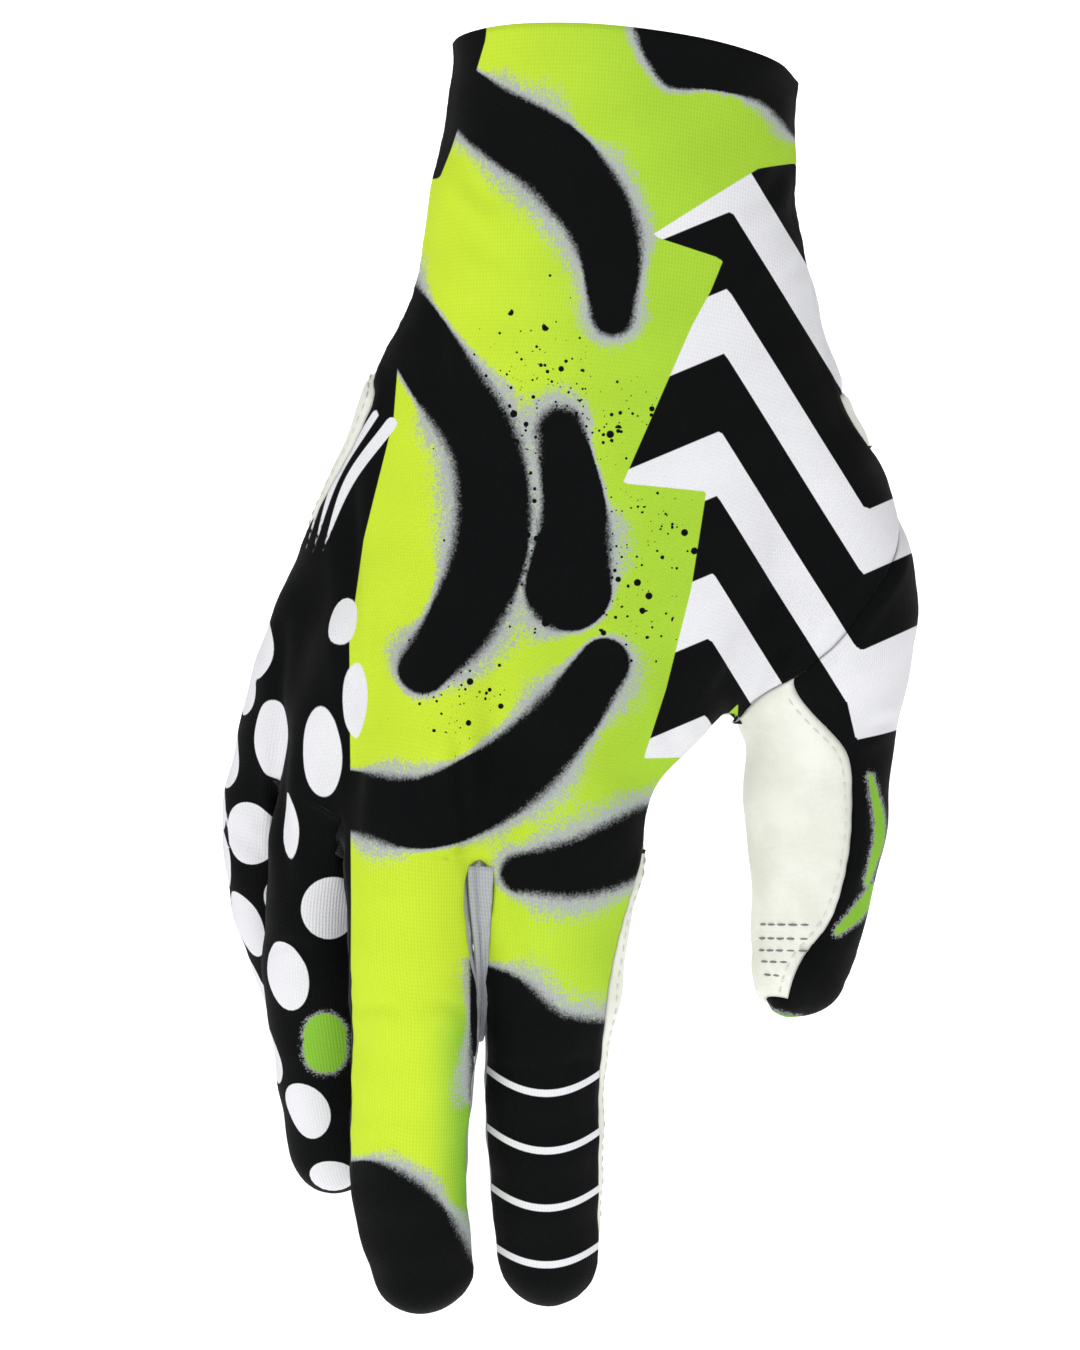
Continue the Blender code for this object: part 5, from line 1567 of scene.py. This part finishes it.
class Finishes:
    """The scene's materials, which share their groups."""

    def __init__(self, inks: Inks, hides: Hides) -> None:
        """Makes every material."""
        self.weave, self.grain, self.seam = weave_group(), grain_group(), seam_shade_group()
        self.print = cloth_print_group(inks)
        self.inks, self.hides = inks, hides
        self.cloth = self.printed_cloth()
        self.reverse = self.plain_knit("cloth_reverse", inks.reverse, inks.reverse, 1600.0, 1250.0, 0.10)
        self.side = self.plain_knit("side_knit", hides.knit, hides.knit_shade, 1700.0, 1250.0, 0.16)
        # Painted shade: the closed slots' side walls are knitted near-black.
        self.slot_shade_side = self.plain_knit("painted_slot_shade_knit", hides.slot_shade_colour, hides.slot_shade_groove_colour, 1700.0, 1250.0, 0.16)
        self.leather = self.pale_leather()
        self.thread = self.sewing_thread("pale_thread", hides.thread)
        self.grey_thread = self.sewing_thread("grey_thread", hides.grey_thread)

    @staticmethod
    def start(name: str, roughness: float, sheen: float, specular: float) -> tuple[bpy.types.Material, Graph, dict]:
        """A material with its shader's constants set.

        Args:
            name: Its name.
            roughness: The surface's roughness.
            sheen: How strongly fibres catch the light at grazing angles.
            specular: Level of the mirror-like reflection.

        Returns:
            The material, its graph and the shader's inputs.
        """
        made = bpy.data.materials.new(name)
        made.use_nodes = True
        shader = made.node_tree.nodes["Principled BSDF"]
        shader.inputs["Roughness"].default_value = roughness
        shader.inputs["Sheen Weight"].default_value = sheen
        shader.inputs["Sheen Roughness"].default_value = 0.45
        shader.inputs["Specular IOR Level"].default_value = specular
        return made, Graph(made.node_tree), shader.inputs

    def bump(self, graph: Graph, height: bpy.types.NodeSocket, depth: float) -> bpy.types.NodeSocket:
        """A normal from a height, with the depth in metres."""
        node = graph.node("ShaderNodeBump")
        graph.feed(node.inputs["Height"], height)
        graph.feed(node.inputs["Distance"], depth)
        graph.feed(node.inputs["Strength"], 0.8)
        return node.outputs[0]

    def printed_cloth(self) -> bpy.types.Material:
        """The printed stretch cloth."""
        made, graph, inputs = self.start("printed_cloth", 0.80, 0.012, 0.07)
        colour = graph.group(self.print).outputs[0]
        # Painted shade in the seam's fold, darkening the print towards black.
        shade = graph.group(self.seam, Width=0.55, Depth=0.35).outputs[0]
        knit = graph.group(self.weave).outputs[0]
        # Painted shade in the grooves between the knit's ribs, also towards black.
        rib_groove_shade = graph.times(graph.less(1.0, knit), 0.10)
        graph.feed(inputs["Base Color"], graph.mixed(graph.plus(shade, rib_groove_shade), colour, self.inks.black))
        graph.feed(inputs["Normal"], self.bump(graph, knit, 0.00010))
        return made

    def plain_knit(
        self, name: str, colour: Colour, shade: Colour, ribs: float, loops: float, depth: float
    ) -> bpy.types.Material:
        """A knit of one colour, with painted shade between its ribs."""
        made, graph, inputs = self.start(name, 0.85, 0.05, 0.15)
        knit = graph.group(self.weave, Ribs=ribs, Loops=loops).outputs[0]
        graph.feed(inputs["Base Color"], graph.mixed(knit, shade, colour))
        graph.feed(inputs["Normal"], self.bump(graph, knit, 0.001 * depth))
        return made

    def pale_leather(self) -> bpy.types.Material:
        """The off-white synthetic leather."""
        made, graph, inputs = self.start("pale_leather", 0.58, 0.05, 0.38)
        grain = graph.group(self.grain)
        colour = graph.mixed(grain.outputs["Mottle"], self.hides.leather, self.hides.leather_shade)
        # Painted shade in the seam's fold greys the leather.
        shade = graph.group(self.seam, Width=0.6, Depth=0.30).outputs[0]
        graph.feed(inputs["Base Color"], graph.mixed(shade, colour, self.hides.grey_thread))
        graph.feed(inputs["Roughness"], graph.plus(graph.times(grain.outputs["Mottle"], 0.08), 0.54))
        graph.feed(inputs["Normal"], self.bump(graph, grain.outputs["Height"], 0.00012))
        return made

    def sewing_thread(self, name: str, colour: Colour) -> bpy.types.Material:
        """A matt thread with a fine twist."""
        made, graph, inputs = self.start(name, 0.6, 0.1, 0.3)
        fibres = graph.noise(graph.object_place(), 6000.0, 1.0)
        dark = tuple(0.72 * c for c in colour)
        graph.feed(inputs["Base Color"], graph.mixed(fibres, dark, colour))
        return made


# ---- Stitches ----


@dataclass(frozen=True)
class StitchSize:
    """One line of stitching: pitch, length of a stitch, the thread's radius and how far it stands off."""

    pitch: float = 0.0025
    length: float = 0.0018
    radius: float = 0.00020
    lift: float = 0.00006


def sampled(grid: Array, i: Array, j: Array) -> Array:
    """Values of a grid at fractional rows and columns, linear between its points."""
    i, j = np.clip(i, 0, grid.shape[0] - 1.001), np.clip(j, 0, grid.shape[1] - 1.001)
    row, column = np.floor(i).astype(int), np.floor(j).astype(int)
    u, v = (i - row)[:, None], (j - column)[:, None]
    top = grid[row, column] * (1 - v) + grid[row, column + 1] * v
    return top * (1 - u) + (grid[row + 1, column] * (1 - v) + grid[row + 1, column + 1] * v) * u


class Stitching:
    """A mesh of small rounded stitches, laid along lines on the panels."""

    SIDES = 6
    RINGS = 4

    def __init__(self, name: str, size: StitchSize, relief: Relief) -> None:
        """Starts with no line."""
        self.name, self.size, self.relief = name, size, relief
        self.centres: list[Array] = []
        self.ways: list[Array] = []
        self.normals: list[Array] = []

    def along(self, line: Array, normals: Array) -> None:
        """Lays stitches at even steps along a line of points with their outward normals."""
        travelled = np.concatenate([[0], np.cumsum(np.linalg.norm(np.diff(line, axis=0), axis=1))])
        at = np.arange(self.size.pitch, travelled[-1] - self.size.pitch / 2, self.size.pitch)
        centre = np.stack([np.interp(at, travelled, line[:, axis]) for axis in range(3)], -1)
        ahead = np.stack([np.interp(at + self.size.length / 3, travelled, line[:, axis]) for axis in range(3)], -1)
        normal = unit(np.stack([np.interp(at, travelled, normals[:, axis]) for axis in range(3)], -1))
        way = ahead - centre
        way = unit(way - along_axis(way, normal)[:, None] * normal)
        self.centres.append(centre + normal * self.size.lift)
        self.ways.append(way)
        self.normals.append(normal)

    def beside(self, grid: Grid, column: int, inset: float, rows: slice = slice(None)) -> None:
        """Lays stitches at an even inset from a grid's first or last column.

        Args:
            grid: The panel's grid.
            column: 0 for its first column, -1 for its last.
            inset: Distance from the edge.
            rows: The rows to run along.
        """
        step = 1 if column == 0 else -1
        points, normals = grid.points[rows, ::step], grid.normal[rows, ::step]
        cell = np.maximum(np.linalg.norm(points[:, 1] - points[:, 0], axis=1), 1e-5)
        i, j = np.arange(len(points), dtype=float), inset / cell
        self.pressed(sampled(points, i, j), unit(sampled(normals, i, j)), inset)

    def across_view(self, start: Place, end: Place, depth: float, inset: float) -> None:
        """Lays stitches on the side that faces the front view, along a straight line of that view.

        Args:
            start: The line's first place.
            end: Its last place.
            depth: The y of a line inside the hand behind it.
            inset: Distance to the nearest seam.
        """
        right, down = (np.linspace(a, b, 24) for a, b in zip(start, end))
        x, z = (right - ORIGIN_RIGHT) * UNIT, (ORIGIN_DOWN - down) * UNIT
        base = np.stack([x, np.full_like(x, depth), z], -1)
        rays = Rays(base, base - np.array([0, 0.01, 0]), THUMB_ROOT_BLEND)
        self.pressed(*FORM.reach(rays), inset)

    def pressed(self, line: Array, normal: Array, inset: float) -> None:
        """Lays stitches along a line on the form, which the relief presses as it does the panel."""
        height = self.relief.at(line, -normal[:, 1], np.full(len(line), inset), np.ones(len(line)))
        self.along(line + normal * height[:, None], normal)

    def build(self, material: bpy.types.Material) -> bpy.types.Object:
        """Makes one mesh of all the stitches: each a short tube whose radius follows half a circle at its ends."""
        centre, way, normal = (np.concatenate(v) for v in (self.centres, self.ways, self.normals))
        aside = np.cross(way, normal)
        half, radius = self.size.length / 2, self.size.radius
        rise = np.linspace(-1, 1, self.RINGS)
        ring_at = rise * (half - radius * 0.3)
        ring_radius = radius * np.array([0.55, 1.0, 1.0, 0.55])
        sag = -0.9 * radius * rise ** 2
        turn = np.arange(self.SIDES) * 2 * np.pi / self.SIDES
        local = np.stack(
            [
                np.broadcast_to(ring_at[:, None], (self.RINGS, self.SIDES)),
                ring_radius[:, None] * np.cos(turn),
                ring_radius[:, None] * np.sin(turn) + sag[:, None],
            ],
            -1,
        ).reshape(-1, 3)
        axes = np.stack([way, aside, normal], 1)
        points = (centre[:, None] + local @ axes).reshape(-1, 3)
        ring, side = np.meshgrid(np.arange(self.RINGS - 1), np.arange(self.SIDES), indexing="ij")
        first, second = ring * self.SIDES + side, ring * self.SIDES + (side + 1) % self.SIDES
        walls = np.stack([first, second, second + self.SIDES, first + self.SIDES], -1).reshape(-1, 4)
        caps = np.stack([np.arange(self.SIDES)[::-1], (self.RINGS - 1) * self.SIDES + np.arange(self.SIDES)])
        offsets = np.arange(len(centre))[:, None, None] * len(local)
        walls, caps = (walls + offsets).reshape(-1, 4), (caps + offsets).reshape(-1, self.SIDES)
        mesh = bpy.data.meshes.new(self.name)
        mesh.from_pydata(points.tolist(), [], walls.tolist() + caps.tolist())
        mesh.shade_smooth()
        mesh.materials.append(material)
        obj = bpy.data.objects.new(self.name, mesh)
        bpy.context.scene.collection.objects.link(obj)
        log.info("%s: %d stitches", self.name, len(centre))
        return obj


# ---- The glove ----


def dress(obj: bpy.types.Object, outer: bpy.types.Material, inner: bpy.types.Material, node: str) -> None:
    """Gives a panel its outer and inner finish, ties it to the root, and hides the node that it replaces, if any."""
    obj.data.materials.append(outer)
    obj.data.materials.append(inner)
    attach(obj, "root")
    if node:
        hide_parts(node)


@dataclass
class HandPanels:
    """The cloth back, the cloth under the wrist and the leather palm, with the fingers' backs and fronts."""

    finishes: Finishes
    relief: Relief
    density: Density = DENSITY

    def strips(self, side: Side, rows: slice) -> Grid:
        """The hand and knuckle rows of all four fingers' strips as one grid, from little finger to thumb."""
        shares = self.density.hand_shares()[rows]
        past = np.linspace(0, 1, self.density.knuckles + 1)
        grids = []
        for k in range(len(FINGERS)):
            share, q = np.meshgrid(shares, self.density.across(k), indexing="ij")
            mouth = share * SIZES.knuckle_down * SIZES.length
            hand = Grid.from_rays(zone_rays(Zone.HAND, k, share, q, side), mouth)
            if rows.stop is None:
                share, q = np.meshgrid(past, self.density.across(k), indexing="ij")
                hand = joined([hand, Grid.from_rays(zone_rays(Zone.KNUCKLE, k, share, q, side))], 0)
            grids.append(hand)
        whole = joined(grids, 1)
        blend = np.full(whole.points.shape[:2], HAND_BLEND)
        if rows.stop is None:
            blend[-len(past):] = (HAND_BLEND + (CROTCH_BLEND - HAND_BLEND) * past)[:, None]
        whole.points, whole.normal = FORM.eased(whole.points, blend)
        middle = 4 * self.density.half_strip
        across = spacing(whole.points, 1)
        whole.weave = np.stack([across - across[:, middle:middle + 1], spacing(whole.points, 0)], -1)
        return whole

    def finger(self, k: int, side: Side) -> Grid:
        """One finger's back or front, from the crotch over its tip."""
        share, q = np.meshgrid(self.density.finger_shares(), self.density.across(k), indexing="ij")
        along = Grid.from_rays(zone_rays(Zone.FINGER, k, share, q, side))
        share, q = np.meshgrid(np.linspace(0, 1, self.density.tips + 1), self.density.across(k), indexing="ij")
        whole = joined([along, Grid.from_rays(zone_rays(Zone.TIP, k, share, q, side))], 0)
        middle = self.density.half_strip
        across = spacing(whole.points, 1)
        whole.weave = np.stack([across - across[:, middle:middle + 1], spacing(whole.points, 0)], -1)
        return whole

    def panel(self, name: str, side: Side, rows: slice) -> tuple[Surface, Grid, list[Grid]]:
        """Gathers one panel, with the fingers where its rows reach the knuckles."""
        surface, flip = Surface(name), side is Side.PALM
        whole = self.strips(side, rows)
        index = surface.add(whole, flip)
        fingers = []
        if rows.stop is None:
            first = 0
            for k in range(len(FINGERS)):
                finger = self.finger(k, side)
                last = first + finger.points.shape[1]
                finger.weave = finger.weave + whole.weave[-1, first + self.density.half_strip]
                surface.add(finger, flip, index[-1, first:last])
                fingers.append(finger)
                first = last - 1
        return surface, whole, fingers

    def build(self) -> tuple[Grid, list[Grid]]:
        """Builds the three panels and returns the grids of the palm and its fingers."""
        made, top = self.finishes, self.density.palm_top
        back, _, _ = self.panel("back_cloth", Side.BACK, slice(0, None))
        back_obj = back.build(self.relief, SIZES.fabric, True)
        dress(back_obj, made.cloth, made.reverse, "back_panel")
        under, _, _ = self.panel("wrist_cloth", Side.PALM, slice(0, top + 1))
        under_obj = under.build(self.relief, SIZES.fabric, True)
        dress(under_obj, made.cloth, made.reverse, "cuff_underside")
        palm, palm_whole, palm_fingers = self.panel("palm_leather", Side.PALM, slice(top, None))
        palm_obj = palm.build(self.relief, SIZES.leather, False)
        dress(palm_obj, made.leather, made.reverse, "palm_panel")
        return palm_whole, palm_fingers


@dataclass
class Fourchettes:
    """The knit side walls between the fingers."""

    finishes: Finishes
    relief: Relief
    density: Density = DENSITY
    web_top: float = 0.34           # height of the fold at the crotch over the slot's middle, share of a finger
    web_fall: float = 0.50          # how much lower it is at its other end
    web_back: float = 0.0032        # how far into the crotch it starts
    web_valley: float = 0.0006
    web_fold: float = 0.0006        # depth of the crease down its length
    web_crease: float = 0.00005
    tuck: float = 0.0007            # how far its edges go into the side walls

    NAMES = ("ring_little", "middle_ring", "index_middle")

    def grid(self, k: int) -> Grid:
        """The strip down one finger's side, round the crotch and up the next finger's side."""
        share = self.density.finger_shares()
        x = np.linspace(0, 1, self.density.fourchette + 1)[None, :, None]
        weights = (1 - x) * (1 - 2 * x), 4 * x * (1 - x), x * (2 * x - 1)
        w = smooth(share / CROTCH_RANGE)
        crotch, _, along, _ = between(k, k + 1, finger_past_knuckle, np.ones_like(share))
        halves = []
        for finger, sign in ((k, 1), (k + 1, -1)):
            q = np.full(share.shape, float(sign))
            on_back, on_palm = (seam_angle(finger, sign, share, side) for side in Side)
            halfway = (np.pi + on_back - on_palm) / 2
            section = FINGERS[finger].at(finger_past_crotch(FINGERS[finger], share))
            side = Rays(
                mix(crotch - along * WEB_BASE_BACK, section.centre, w),
                mix(crotch + along * WEB_REACH, section.point(q * halfway), w),
            )
            three = (finger_rays(finger, share, q, Side.BACK), side, finger_rays(finger, share, q, Side.PALM))
            base = sum(u * v.base[:, None] for u, v in zip(weights, three))
            target = sum(u * v.target[:, None] for u, v in zip(weights, three))
            blend = np.broadcast_to(crotch_blend(share)[:, None], base.shape[:2])
            rows = slice(None, None, -1) if sign > 0 else slice(1, None)
            halves.append(Rays(base[rows], target[rows], blend[rows]))
        base, target, blend = (np.concatenate([getattr(h, n) for h in halves]) for n in ("base", "target", "blend"))
        return Grid.from_rays(Rays(base, target, blend))

    def web(self, k: int, share: float = 0.42, rows: int = 40, columns: int = 12) -> Grid:
        """A fold of knit across the top of a slot between two fingers, from the crotch to where the slot closes.

        Args:
            k: The slot.
            share: How far down the slot the fold reaches.
            rows: Quads along the slot.
            columns: Quads across it.

        Returns:
            Its grid. It sinks into the slot towards its lower end, and its middle is a soft valley.
        """
        slot = FORM.slots[k]
        last = share * (len(slot.half) - 8)
        down, across = np.meshgrid(np.linspace(0, 1, rows + 1), np.linspace(-1, 1, columns + 1), indexing="ij")
        at = down * last
        middle, side, along, half = (
            np.stack([np.interp(at, np.arange(len(v)), column) for column in v.reshape(len(v), -1).T], -1)
            for v in (slot.middle, slot.across, slot.along, slot.half)
        )
        outward = unit(np.cross(side, along))
        outward = outward * np.sign(-outward[..., 1:2])
        tuck = half[..., 0] + self.tuck * (1 - 0.8 * down)
        fold = -self.web_fold * np.exp(-((across + 0.35 - 0.3 * down) / 0.16) ** 2)
        fall = self.web_top - self.web_fall * down ** 1.8
        height = fold + SIZES.finger * fall - self.web_valley * (1 - across ** 2)
        crease = self.web_crease * np.cos(6 * np.pi * across * (0.4 + 0.6 * down)) * (1 - across ** 2)
        points = middle - along * (self.web_back * (1 - down))[..., None]
        points = points + side * (across * tuck)[..., None] + outward * (height + crease)[..., None]
        run, over = np.gradient(points, axis=0), np.gradient(points, axis=1)
        normal = unit(np.cross(over, run))
        normal = normal * np.sign(along_axis(normal, outward))[..., None]
        return Grid(points, normal, np.ones(points.shape[:2]), np.stack([spacing(points, 1), spacing(points, 0)], -1))

    def build(self) -> None:
        """Builds the fold in the open crotch between index and middle finger, and the three side walls."""
        open_slot = len(self.NAMES) - 1
        fold = Surface("side_knit_fold")
        fold.add(self.web(open_slot), flip=False)
        obj = fold.build(Relief(unevenness=0, seam_dip=0, swell=0, pucker=0, flare=0), 0.0008, False, 0)
        dress(obj, self.finishes.side, self.finishes.side, "")
        for k, pair in enumerate(self.NAMES):
            surface = Surface("side_knit_" + pair)
            surface.add(self.grid(k), flip=True)
            obj = surface.build(self.relief, SIZES.fabric, False)
            # The closed slots' side walls take the near-black knit as painted shade between the touching fingers; the
            # open slot keeps the pale knit.
            knit = self.finishes.side if k == open_slot else self.finishes.slot_shade_side
            dress(obj, knit, knit, "fourchette_" + pair)


@dataclass
class ThumbPanels:
    """The thumb's printed back and the leather patch along its inner side."""

    finishes: Finishes
    relief: Relief
    density: Density = DENSITY

    def grid(self) -> Grid:
        """Rows down the thumb from its seam to its tip, with columns around it."""
        columns = 2 * self.density.beside_thumb
        share, turn = np.meshgrid(
            np.linspace(0, 1, self.density.thumb + 1), np.linspace(0, 1, columns + 1), indexing="ij"
        )
        ring, ring_s, ring_angle = thumb_ring(turn)
        seams = np.array(PATCH_SEAMS, float)
        front, rear = (np.radians(np.interp(share, seams[:, 0], seams[:, column])) for column in (1, 2))
        first, last = math.radians(THUMB_SEAM_RING[0][1]), math.radians(THUMB_SEAM_RING[-1][1])
        before = first + (front - first) * turn / PATCH_FRONT_TURN
        under = front + (rear - front) * (turn - PATCH_FRONT_TURN) / (PATCH_BACK_TURN - PATCH_FRONT_TURN)
        after = rear + (last - rear) * (turn - PATCH_BACK_TURN) / (1 - PATCH_BACK_TURN)
        spread = np.where(turn <= PATCH_FRONT_TURN, before, np.where(turn <= PATCH_BACK_TURN, under, after))
        w = smooth(share / THUMB_ROOT_TURN)
        angle = ring_angle + (spread - ring_angle) * w
        thumb = FORM.thumb
        section = thumb.at(ring_s + (thumb.length - ring_s) * share)
        base = mix(ring.base, section.centre, w)
        target = mix(ring.target, section.point(angle), smooth(share / THUMB_ROOT_REACH))
        end = thumb.at(np.full(turn[0].shape, thumb.length))
        rise = np.radians(np.linspace(0, 90, self.density.thumb_tip + 1))[1:, None, None]
        rim = end.point(angle[-1]) - end.centre
        tip = end.along * ((end.half_width + end.half_depth) / 2)[:, None]
        over = end.centre + rim[None] * np.cos(rise) + tip[None] * np.sin(rise)
        base = np.concatenate([base, np.broadcast_to(end.centre, over.shape)])
        return Grid.from_rays(Rays(base, np.concatenate([target, over]), THUMB_ROOT_BLEND), eased=True)

    def build(self) -> Grid:
        """Builds both panels and returns the patch's grid."""
        whole = self.grid()
        columns = 2 * self.density.beside_thumb
        front, rear = round(columns * PATCH_FRONT_TURN), round(columns * PATCH_BACK_TURN)
        rows = self.density.thumb + self.density.patch_on_tip
        surface = Surface("thumb_cloth")
        pole = whole.part(slice(-1, None), slice(0, 1))
        index = np.full(whole.points.shape[:2], -1)
        body = whole.part(slice(0, -1), slice(0, columns))
        keep = np.ones(body.points.shape[:2], bool)
        keep[:rows, front + 1:rear] = False
        picked = Grid(*(getattr(body, name)[keep][None] for name in Grid.FIELDS))
        surface.grids.append(picked)
        index[:-1, :-1][keep] = np.arange(keep.sum())
        surface.count = int(keep.sum())
        surface.grids.append(pole)
        index[-1] = surface.count
        surface.count += 1
        index[:, -1] = index[:, 0]
        surface.face(index[:-1, :front + 1], True)
        surface.face(index[:-1, rear:], True)
        surface.face(index[rows:-1, front:rear + 1], True)
        ring = index[-2]
        surface.triangles.append(np.stack([ring[1:], np.full(columns, index[-1, 0]), ring[:-1]], -1))
        obj = surface.build(self.relief, SIZES.fabric, True)
        dress(obj, self.finishes.cloth, self.finishes.reverse, "thumb_back")

        patch_grid = whole.part(slice(0, rows + 1), slice(front, rear + 1))
        patch = Surface("thumb_leather")
        patch.add(patch_grid, flip=True)
        obj = patch.build(self.relief, SIZES.leather, False)
        dress(obj, self.finishes.leather, self.finishes.reverse, "thumb_patch")
        return patch_grid


@dataclass
class Sewing:
    """The lines of stitching that show on the glove."""

    finishes: Finishes
    relief: Relief
    inset: float = 0.0019

    PATCH_ROWS = (
        ((757, 925), (821, 925)), ((757, 939), (821, 939)), ((757, 951), (813, 951)),
        ((758, 962), (797, 963)), ((760, 975), (786, 976)),
    )

    def build(self, patch: Grid, palm: Grid, palm_fingers: Sequence[Grid]) -> None:
        """Sews round the thumb patch, along the palm's edges and across the patch's end."""
        pale = Stitching("pale_stitches", StitchSize(), self.relief)
        pale.beside(patch, 0, self.inset, slice(2, -1))
        pale.beside(patch, -1, self.inset, slice(2, -1))
        pale.beside(palm, 0, self.inset)
        pale.beside(palm_fingers[INDEX], -1, self.inset, slice(4, -16))
        pale.beside(palm_fingers[0], 0, self.inset, slice(0, -16))
        self.finish(pale.build(self.finishes.thread), "palm_leather")
        bar = StitchSize(pitch=0.0024, length=0.0019, radius=0.00022, lift=0.00008)
        grey = Stitching("grey_stitches", bar, self.relief)
        depth = float(FORM.thumb.at(FORM.thumb.length * 0.9).centre[1])
        for start, end in self.PATCH_ROWS:
            grey.across_view(start, end, depth, 0.004)
        self.finish(grey.build(self.finishes.grey_thread), "palm_leather")

    @staticmethod
    def finish(obj: bpy.types.Object, slot: str) -> None:
        """Ties a piece to the root."""
        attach(obj, "root")


@dataclass(frozen=True)
class Studio:
    """Pale backdrop, soft lights and a camera square to the glove's back."""

    distance: float = 2.2
    view_height: float = 0.2565
    aim: tuple[float, float] = (-0.01615, -0.1159)
    floor_height: float = -0.30
    wall_back: float = 7.0
    half_width: float = 7.0
    bend: float = 0.8
    floor_front: float = -3.2
    wall_top: float = 3.4
    backdrop_glow: float = 0.75
    sky_glow: float = 0.35

    # Each lamp: name, place, size and power
    LAMPS = (
        ("key", (-1.2, -1.6, 1.1), 1.3, 19.0),
        ("fill", (1.6, -1.3, 0.1), 1.6, 6.2),
        ("top", (0.0, -0.3, 1.9), 1.6, 6.6),
    )

    def build(self) -> None:
        """Sets the stage."""
        scene = bpy.context.scene
        scene.view_settings.view_transform = "Standard"
        scene.view_settings.look = "None"
        self.backdrop()
        self.world(scene)
        middle = Vector((self.aim[0], 0.0, self.aim[1]))
        for name, at, size, power in self.LAMPS:
            self.light(name, Vector(at), middle, size, power)
        data = bpy.data.cameras.new("camera")
        data.sensor_fit, data.sensor_height = "VERTICAL", 36.0
        data.lens = 36.0 * self.distance / self.view_height
        camera = bpy.data.objects.new("camera", data)
        camera.location = (self.aim[0], -self.distance, self.aim[1])
        camera.rotation_euler = (math.pi / 2, 0, 0)
        scene.collection.objects.link(camera)
        scene.camera = camera

    def backdrop(self) -> None:
        """A floor that bends up into a wall: a straight, a quarter circle and a straight."""
        turn = np.linspace(0, np.pi / 2, 24)
        front, back = self.floor_front, self.wall_back
        y = np.concatenate([[front], back - self.bend + self.bend * np.sin(turn), [back]])
        z = np.concatenate([[0], self.bend - self.bend * np.cos(turn), [self.wall_top]]) + self.floor_height
        x = np.array([-self.half_width, self.half_width])
        points = np.stack([np.repeat(x, len(y)), np.tile(y, 2), np.tile(z, 2)], -1)
        n = np.arange(len(y) - 1)
        faces = np.stack([n, len(y) + n, len(y) + n + 1, n + 1], -1)
        mesh = bpy.data.meshes.new("backdrop")
        mesh.from_pydata(points.tolist(), [], faces.tolist())
        mesh.shade_smooth()
        made = bpy.data.materials.new("backdrop")
        made.use_nodes = True
        shader = made.node_tree.nodes["Principled BSDF"]
        shader.inputs["Base Color"].default_value = (0.93, 0.93, 0.93, 1)
        shader.inputs["Roughness"].default_value = 0.9
        shader.inputs["Specular IOR Level"].default_value = 0.1
        shader.inputs["Emission Color"].default_value = (1, 1, 1, 1)
        shader.inputs["Emission Strength"].default_value = self.backdrop_glow
        mesh.materials.append(made)
        obj = bpy.data.objects.new("backdrop", mesh)
        bpy.context.scene.collection.objects.link(obj)

    def world(self, scene: bpy.types.Scene) -> None:
        """Even white light from all round."""
        world = bpy.data.worlds.new("studio")
        world.use_nodes = True
        sky = world.node_tree.nodes["Background"]
        sky.inputs["Color"].default_value = (1, 1, 1, 1)
        sky.inputs["Strength"].default_value = self.sky_glow
        scene.world = world

    def light(self, name: str, at: Vector, to: Vector, size: float, power: float) -> None:
        """A square soft light."""
        data = bpy.data.lights.new(name, "AREA")
        data.size, data.energy = size, power
        lamp = bpy.data.objects.new(name, data)
        lamp.location = at
        lamp.rotation_euler = (to - at).to_track_quat("-Z", "Y").to_euler()
        bpy.context.scene.collection.objects.link(lamp)


def main() -> None:
    """Dresses the glove and sets the studio."""
    logging.basicConfig(level=logging.INFO, format="%(name)s: %(message)s")
    finishes, relief = Finishes(Inks(), Hides()), Relief()
    palm, palm_fingers = HandPanels(finishes, relief).build()
    Fourchettes(finishes, relief).build()
    patch = ThumbPanels(finishes, relief).build()
    Sewing(finishes, relief).build(patch, palm, palm_fingers)
    Studio().build()


if __name__ == "__main__":
    main()
